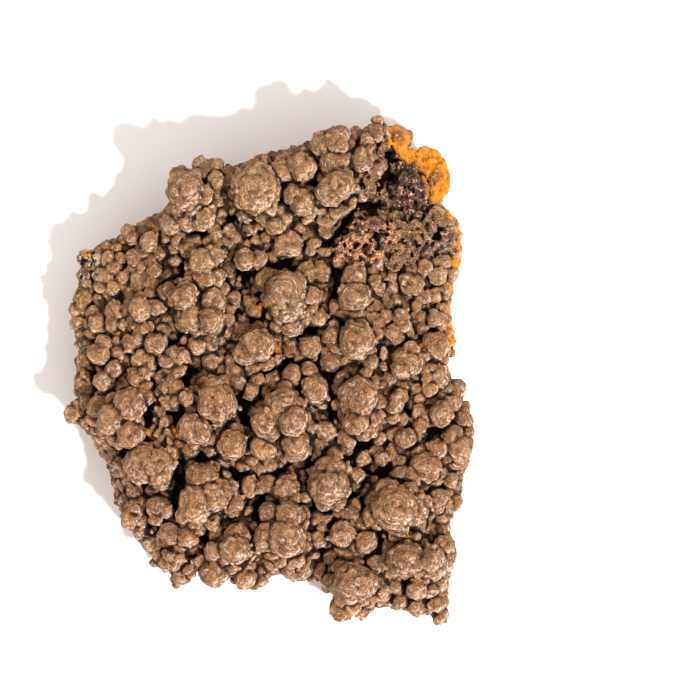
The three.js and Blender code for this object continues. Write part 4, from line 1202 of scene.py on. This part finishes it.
# Colours, linear.
RED_BROWN = (0.335, 0.141, 0.044)
RED_BROWN_DARK = (0.165, 0.068, 0.02)
OLIVE_BROWN = (0.325, 0.147, 0.047)
OLIVE_BROWN_DARK = (0.165, 0.077, 0.024)
GOLDEN_BROWN = (0.42, 0.165, 0.034)
GOLDEN_BROWN_DARK = (0.21, 0.085, 0.018)
# Pale colour of the painted highlights and glints: lips, flecks, fringe and crests.
PALE_HIGHLIGHT = (0.85, 0.63, 0.46)
# Near black: dark seams between grains, and painted shade in joints, creases and closed-in places.
SEAM_AND_SHADE_BROWN = (0.02, 0.009, 0.004)
OCHRE = (0.76, 0.27, 0.01)
OCHRE_DARK = (0.5, 0.15, 0.008)
RUST = (0.27, 0.095, 0.034)
DARK_GRAIN = (0.045, 0.026, 0.018)
DARK_GRAIN_LIGHT = (0.2, 0.1, 0.066)
PINK_GRAIN = (0.55, 0.23, 0.1)
PINK_GRAIN_LIGHT = (0.85, 0.4, 0.2)
WARM_GRAIN = (0.55, 0.29, 0.13)
WARM_GRAIN_DARK = (0.2, 0.095, 0.035)
GREY_GRAIN = (0.12, 0.09, 0.085)
CREAM = (0.62, 0.42, 0.25)
MATRIX = (0.3, 0.15, 0.06)
MATRIX_ORANGE = (0.5, 0.17, 0.022)
MATRIX_DARK = (0.09, 0.047, 0.024)


def crust_material():
    """The one material of the specimen, led by what is kept at its vertices."""
    g = Graph("mottramite crust")
    parts = g.tree.nodes.new("ShaderNodeSeparateXYZ")
    g.put(parts.inputs[0], g.place)
    across, along = parts.outputs[0], parts.outputs[1]
    normal = g.tree.nodes.new("ShaderNodeNewGeometry").outputs["Normal"]

    mottle = g.noise(1.5, 4, 0.6)
    fine = g.noise(0.2, 3, 0.7)
    wrinkle = g.noise(0.55, 4, 0.65)
    grain = g.cells(0.3, output="Color")
    grain_value = g.vector("DOT_PRODUCT", grain, (1, 0, 0))
    grain_other = g.vector("DOT_PRODUCT", grain, (0, 1, 0))
    crystal = g.cells(0.32)
    tone = g.attribute("tone")
    bulge = g.attribute("bulge")
    shut = g.attribute("shut")
    size = g.attribute("size")
    pole = g.attribute("pole")
    granular_share = g.attribute("granular")

    # Brown of the heads, with the upper part more olive and the lower part redder.
    share = g.math("ADD", g.times(mottle, 0.5), g.times(tone, 0.35))
    share = g.math("MULTIPLY_ADD", wrinkle, 0.3, share)
    share = g.range(share, 0.3, 0.82)
    red = g.mix(share, RED_BROWN_DARK, RED_BROWN)
    olive = g.mix(share, OLIVE_BROWN_DARK, OLIVE_BROWN)
    height = g.math("ADD", along, g.times(g.noise(9, 1), 24))
    colour = g.mix(g.range(height, 6, 27), red, olive)
    golden = g.mix(share, GOLDEN_BROWN_DARK, GOLDEN_BROWN)
    deep = g.attribute("deep")
    colour = g.mix(g.times(deep, 0.8), colour, golden)

    # Growth layers about each head's crown: each is painted darker where it starts and lighter
    # towards its lip, as painted shade and light of the step, and its pale lip is a painted
    # highlight.
    unevenness = g.math("ADD", g.times(g.noise(1.1, 2), 2.2), g.times(g.noise(0.4, 2), 0.7))
    phase = g.math("MULTIPLY_ADD", pole, 1 / LAYER_SPACING, unevenness)
    layer = g.math("FRACT", phase)
    lip_highlight = g.times(g.range(layer, 0.74, 0.92), g.range(g.noise(0.9, 2), 0.42, 0.54))
    lip_highlight = g.times(lip_highlight, 0.55)
    ledge = g.math("FRACT", g.math("ADD", g.attribute("ledge"), g.times(fine, 0.25)))
    on_ledge = g.range(size, 0.95, 1.05)
    rim = g.times(g.range(ledge, 0.72, 0.95), g.range(g.noise(1.2, 2), 0.4, 0.5))
    lip_highlight = g.math("MAXIMUM", lip_highlight, g.times(rim, on_ledge))
    lip_highlight = g.times(lip_highlight, g.range(g.math("DIVIDE", pole, size), 0.25, 1.0, 0.3, 1))
    # Painted shade and light across each growth layer.
    colour = g.shade(colour, g.range(layer, 0, 1, 0.74, 1.12))
    # Painted shade just under each ledge of the larger heads.
    shade_under_ledge = g.times(g.math("SUBTRACT", 1, ledge), on_ledge)
    colour = g.shade(colour, g.range(shade_under_ledge, 0.55, 1, 1, 0.7))

    # Fine light and dark grains of the drusy skin, with pale flecks painted as glints of its
    # crystals.
    colour = g.shade(colour, g.range(fine, 0.3, 0.7, 0.62, 1.38))
    # Painted glints: pale flecks on the drusy crystals.
    fleck_glint = g.times(g.range(grain_other, 0.88, 0.94), g.range(crystal, 0.45, 0.2))
    colour = g.mix(g.times(fleck_glint, 0.5), colour, PALE_HIGHLIGHT)
    # Painted highlight: the lips are lighter where the surface faces the key light.
    facing_key_light = g.vector("DOT_PRODUCT", normal, (0.5, -0.72, 0.48))
    lit_side = g.range(facing_key_light, -0.1, 0.85, 0.25, 1)
    colour = g.mix(g.times(g.times(lip_highlight, lit_side), 0.72), colour, PALE_HIGHLIGHT)

    # Painted highlights: pale crests where the surface bulges, and a pale fringe on the lower right
    # of the heads, where they face the key light.
    # Painted highlight where the surface faces the key light.
    fringe_highlight = g.times(g.range(facing_key_light, 0.6, 0.98), g.range(wrinkle, 0.45, 0.58))
    colour = g.mix(g.times(fringe_highlight, 0.48), colour, PALE_HIGHLIGHT)
    # Painted highlight on convex crests.
    crest_highlight = g.times(g.range(bulge, 0.04, 0.2), g.range(wrinkle, 0.45, 0.62))
    colour = g.mix(g.times(crest_highlight, 0.3), colour, PALE_HIGHLIGHT)

    # Broken granular parts: grains with dark seams between them.
    seam = g.cells(0.42, "DISTANCE_TO_EDGE")
    warm = g.mix(grain_value, WARM_GRAIN_DARK, WARM_GRAIN)
    colour = g.mix(g.times(granular_share, 0.6), colour, warm)
    colour = g.mix(g.times(granular_share, g.range(seam, 0.02, 0.14, 0.8, 0)), colour, SEAM_AND_SHADE_BROWN)
    dark = g.mix(g.range(grain_value, 0.3, 0.9), DARK_GRAIN, DARK_GRAIN_LIGHT)
    dark = g.mix(g.range(grain_other, 0.84, 0.93), dark, PINK_GRAIN_LIGHT)
    grey = g.mix(grain_value, DARK_GRAIN, GREY_GRAIN)
    pink = g.mix(g.range(wrinkle, 0.38, 0.6), PINK_GRAIN, PINK_GRAIN_LIGHT)
    pink = g.shade(pink, g.range(grain_value, 0, 1, 0.7, 1.25))
    pink = g.mix(g.range(g.noise(1.3, 2), 0.57, 0.62), pink, grey)
    pink = g.mix(g.range(seam, 0.02, 0.12, 0.8, 0), pink, SEAM_AND_SHADE_BROWN)
    cream = g.mix(g.range(g.noise(0.5, 3), 0.46, 0.54), CREAM, grey)
    ochre = g.mix(g.range(g.noise(0.7, 4, 0.6), 0.34, 0.58), OCHRE_DARK, OCHRE)
    ochre = g.shade(ochre, g.range(fine, 0.3, 0.75, 0.7, 1.25))
    ochre = g.mix(g.range(g.noise(0.45, 3), 0.6, 0.66), ochre, RUST)
    colour = g.mix(g.attribute("pink"), colour, pink)
    colour = g.mix(g.attribute("cream"), colour, cream)
    colour = g.mix(g.attribute("dark"), colour, dark)

    # Ochre lies deep among the heads too.
    stained = g.times(g.range(g.noise(3.0, 2), 0.6, 0.68), g.range(shut, 0.3, 0.6))
    colour = g.mix(g.times(stained, 0.5), colour, ochre)

    # Painted shade: joints between heads, creases, closed-in places and deep places are darkened,
    # and ochre is darkened where it is closed in.
    colour = g.mix(g.range(g.attribute("joint"), 0.3, 0.6, 0, 0.6), colour, SEAM_AND_SHADE_BROWN)
    colour = g.mix(g.range(bulge, -0.16, 0.02, 0.95, 0), colour, SEAM_AND_SHADE_BROWN)
    colour = g.mix(g.range(shut, 0.31, 0.7), colour, SEAM_AND_SHADE_BROWN)
    colour = g.shade(colour, g.range(deep, 0.55, 1, 1, 0.5))
    # Ochre darkened where it is closed in: painted shade.
    colour = g.mix(g.attribute("ochre"), colour, g.shade(ochre, g.range(shut, 0.4, 0.95, 1, 0.15)))

    # Matrix on the sides and the underside, orange along the right edge.
    rock = g.mix(g.range(g.noise(1.6, 6, 0.7), 0.34, 0.66), MATRIX_DARK, MATRIX)
    orange = g.times(g.range(across, 22, 27), g.range(along, -2, 4))
    orange = g.math("MAXIMUM", orange, g.range(g.noise(4.0, 6, 0.7), 0.52, 0.72, 0, 0.75))
    rock = g.mix(orange, rock, MATRIX_ORANGE)
    rock = g.shade(rock, g.range(fine, 0.25, 0.75, 0.65, 1.3))
    colour = g.mix(g.attribute("matrix"), colour, rock)
    g.put(g.shader.inputs["Base Color"], colour)

    g.put(g.shader.inputs["Roughness"], g.range(fine, 0.3, 0.7, 0.42, 0.85))
    g.shader.inputs["Specular IOR Level"].default_value = 0.3

    # Fine relief, mm: grains, crystals, wrinkles, the rims of the growth layers, and seams.
    relief = g.times(fine, 0.09)
    for part, depth in (
        (crystal, -0.1),
        (wrinkle, 0.26),
        (g.times(layer, g.range(layer, 1, 0.92)), 0.14),
        (g.times(granular_share, g.range(seam, 0, 0.2)), 0.12),
    ):
        relief = g.math("MULTIPLY_ADD", part, depth, relief)
    bump = g.tree.nodes.new("ShaderNodeBump")
    bump.inputs["Distance"].default_value = MM
    bump.inputs["Strength"].default_value = 1.0
    g.put(bump.inputs["Height"], relief)
    g.put(g.shader.inputs["Normal"], bump.outputs["Normal"])
    return g.material


crust_paint = crust_material()
for piece in pieces:
    piece.data.materials.append(crust_paint)
    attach(piece, "root")
    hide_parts("mottramite")

# Floor, light and camera.
FLOOR_REACH = 0.6
floor_corners = [(-1, -1), (1, -1), (1, 1), (-1, 1)]
floor_corners = [(x * FLOOR_REACH, y * FLOOR_REACH, 0) for x, y in floor_corners]
floor = add_mesh("floor", floor_corners, [(0, 1, 2, 3)])
floor_paint = bpy.data.materials.new("floor")
floor_paint.use_nodes = True
floor_shader = floor_paint.node_tree.nodes["Principled BSDF"]
floor_shader.inputs["Base Color"].default_value = (0.98, 0.92, 0.895, 1)
floor_shader.inputs["Roughness"].default_value = 0.9
floor_shader.inputs["Specular IOR Level"].default_value = 0.0
floor.data.materials.append(floor_paint)

world = bpy.data.worlds.new("studio")
world.use_nodes = True
background = world.node_tree.nodes["Background"]
background.inputs["Color"].default_value = (1, 0.995, 0.985, 1)
background.inputs["Strength"].default_value = 1.02
bpy.context.scene.world = world

# Where the light comes from: its direction seen from above, and how high it stands.
KEY_DIRECTION = (0.741, -0.671)
KEY_ELEVATION = math.radians(56)
key_light = bpy.data.lights.new("key", "SUN")
key_light.energy = 4.2
key_light.angle = math.radians(4)
key = add_object("key", key_light)
level = [part * math.cos(KEY_ELEVATION) for part in KEY_DIRECTION]
towards_light = Vector((*level, math.sin(KEY_ELEVATION)))
key.rotation_euler = towards_light.to_track_quat("Z", "Y").to_euler()

camera_data = bpy.data.cameras.new("camera")
camera_data.sensor_width = 36
camera_data.lens = 197.8
camera_data.clip_start = 0.01
camera_data.clip_end = 10
camera = add_object("camera", camera_data)
camera.location = (0.01246, 0.00327, 0.6)
bpy.context.scene.camera = camera
bpy.context.scene.view_settings.view_transform = "Standard"
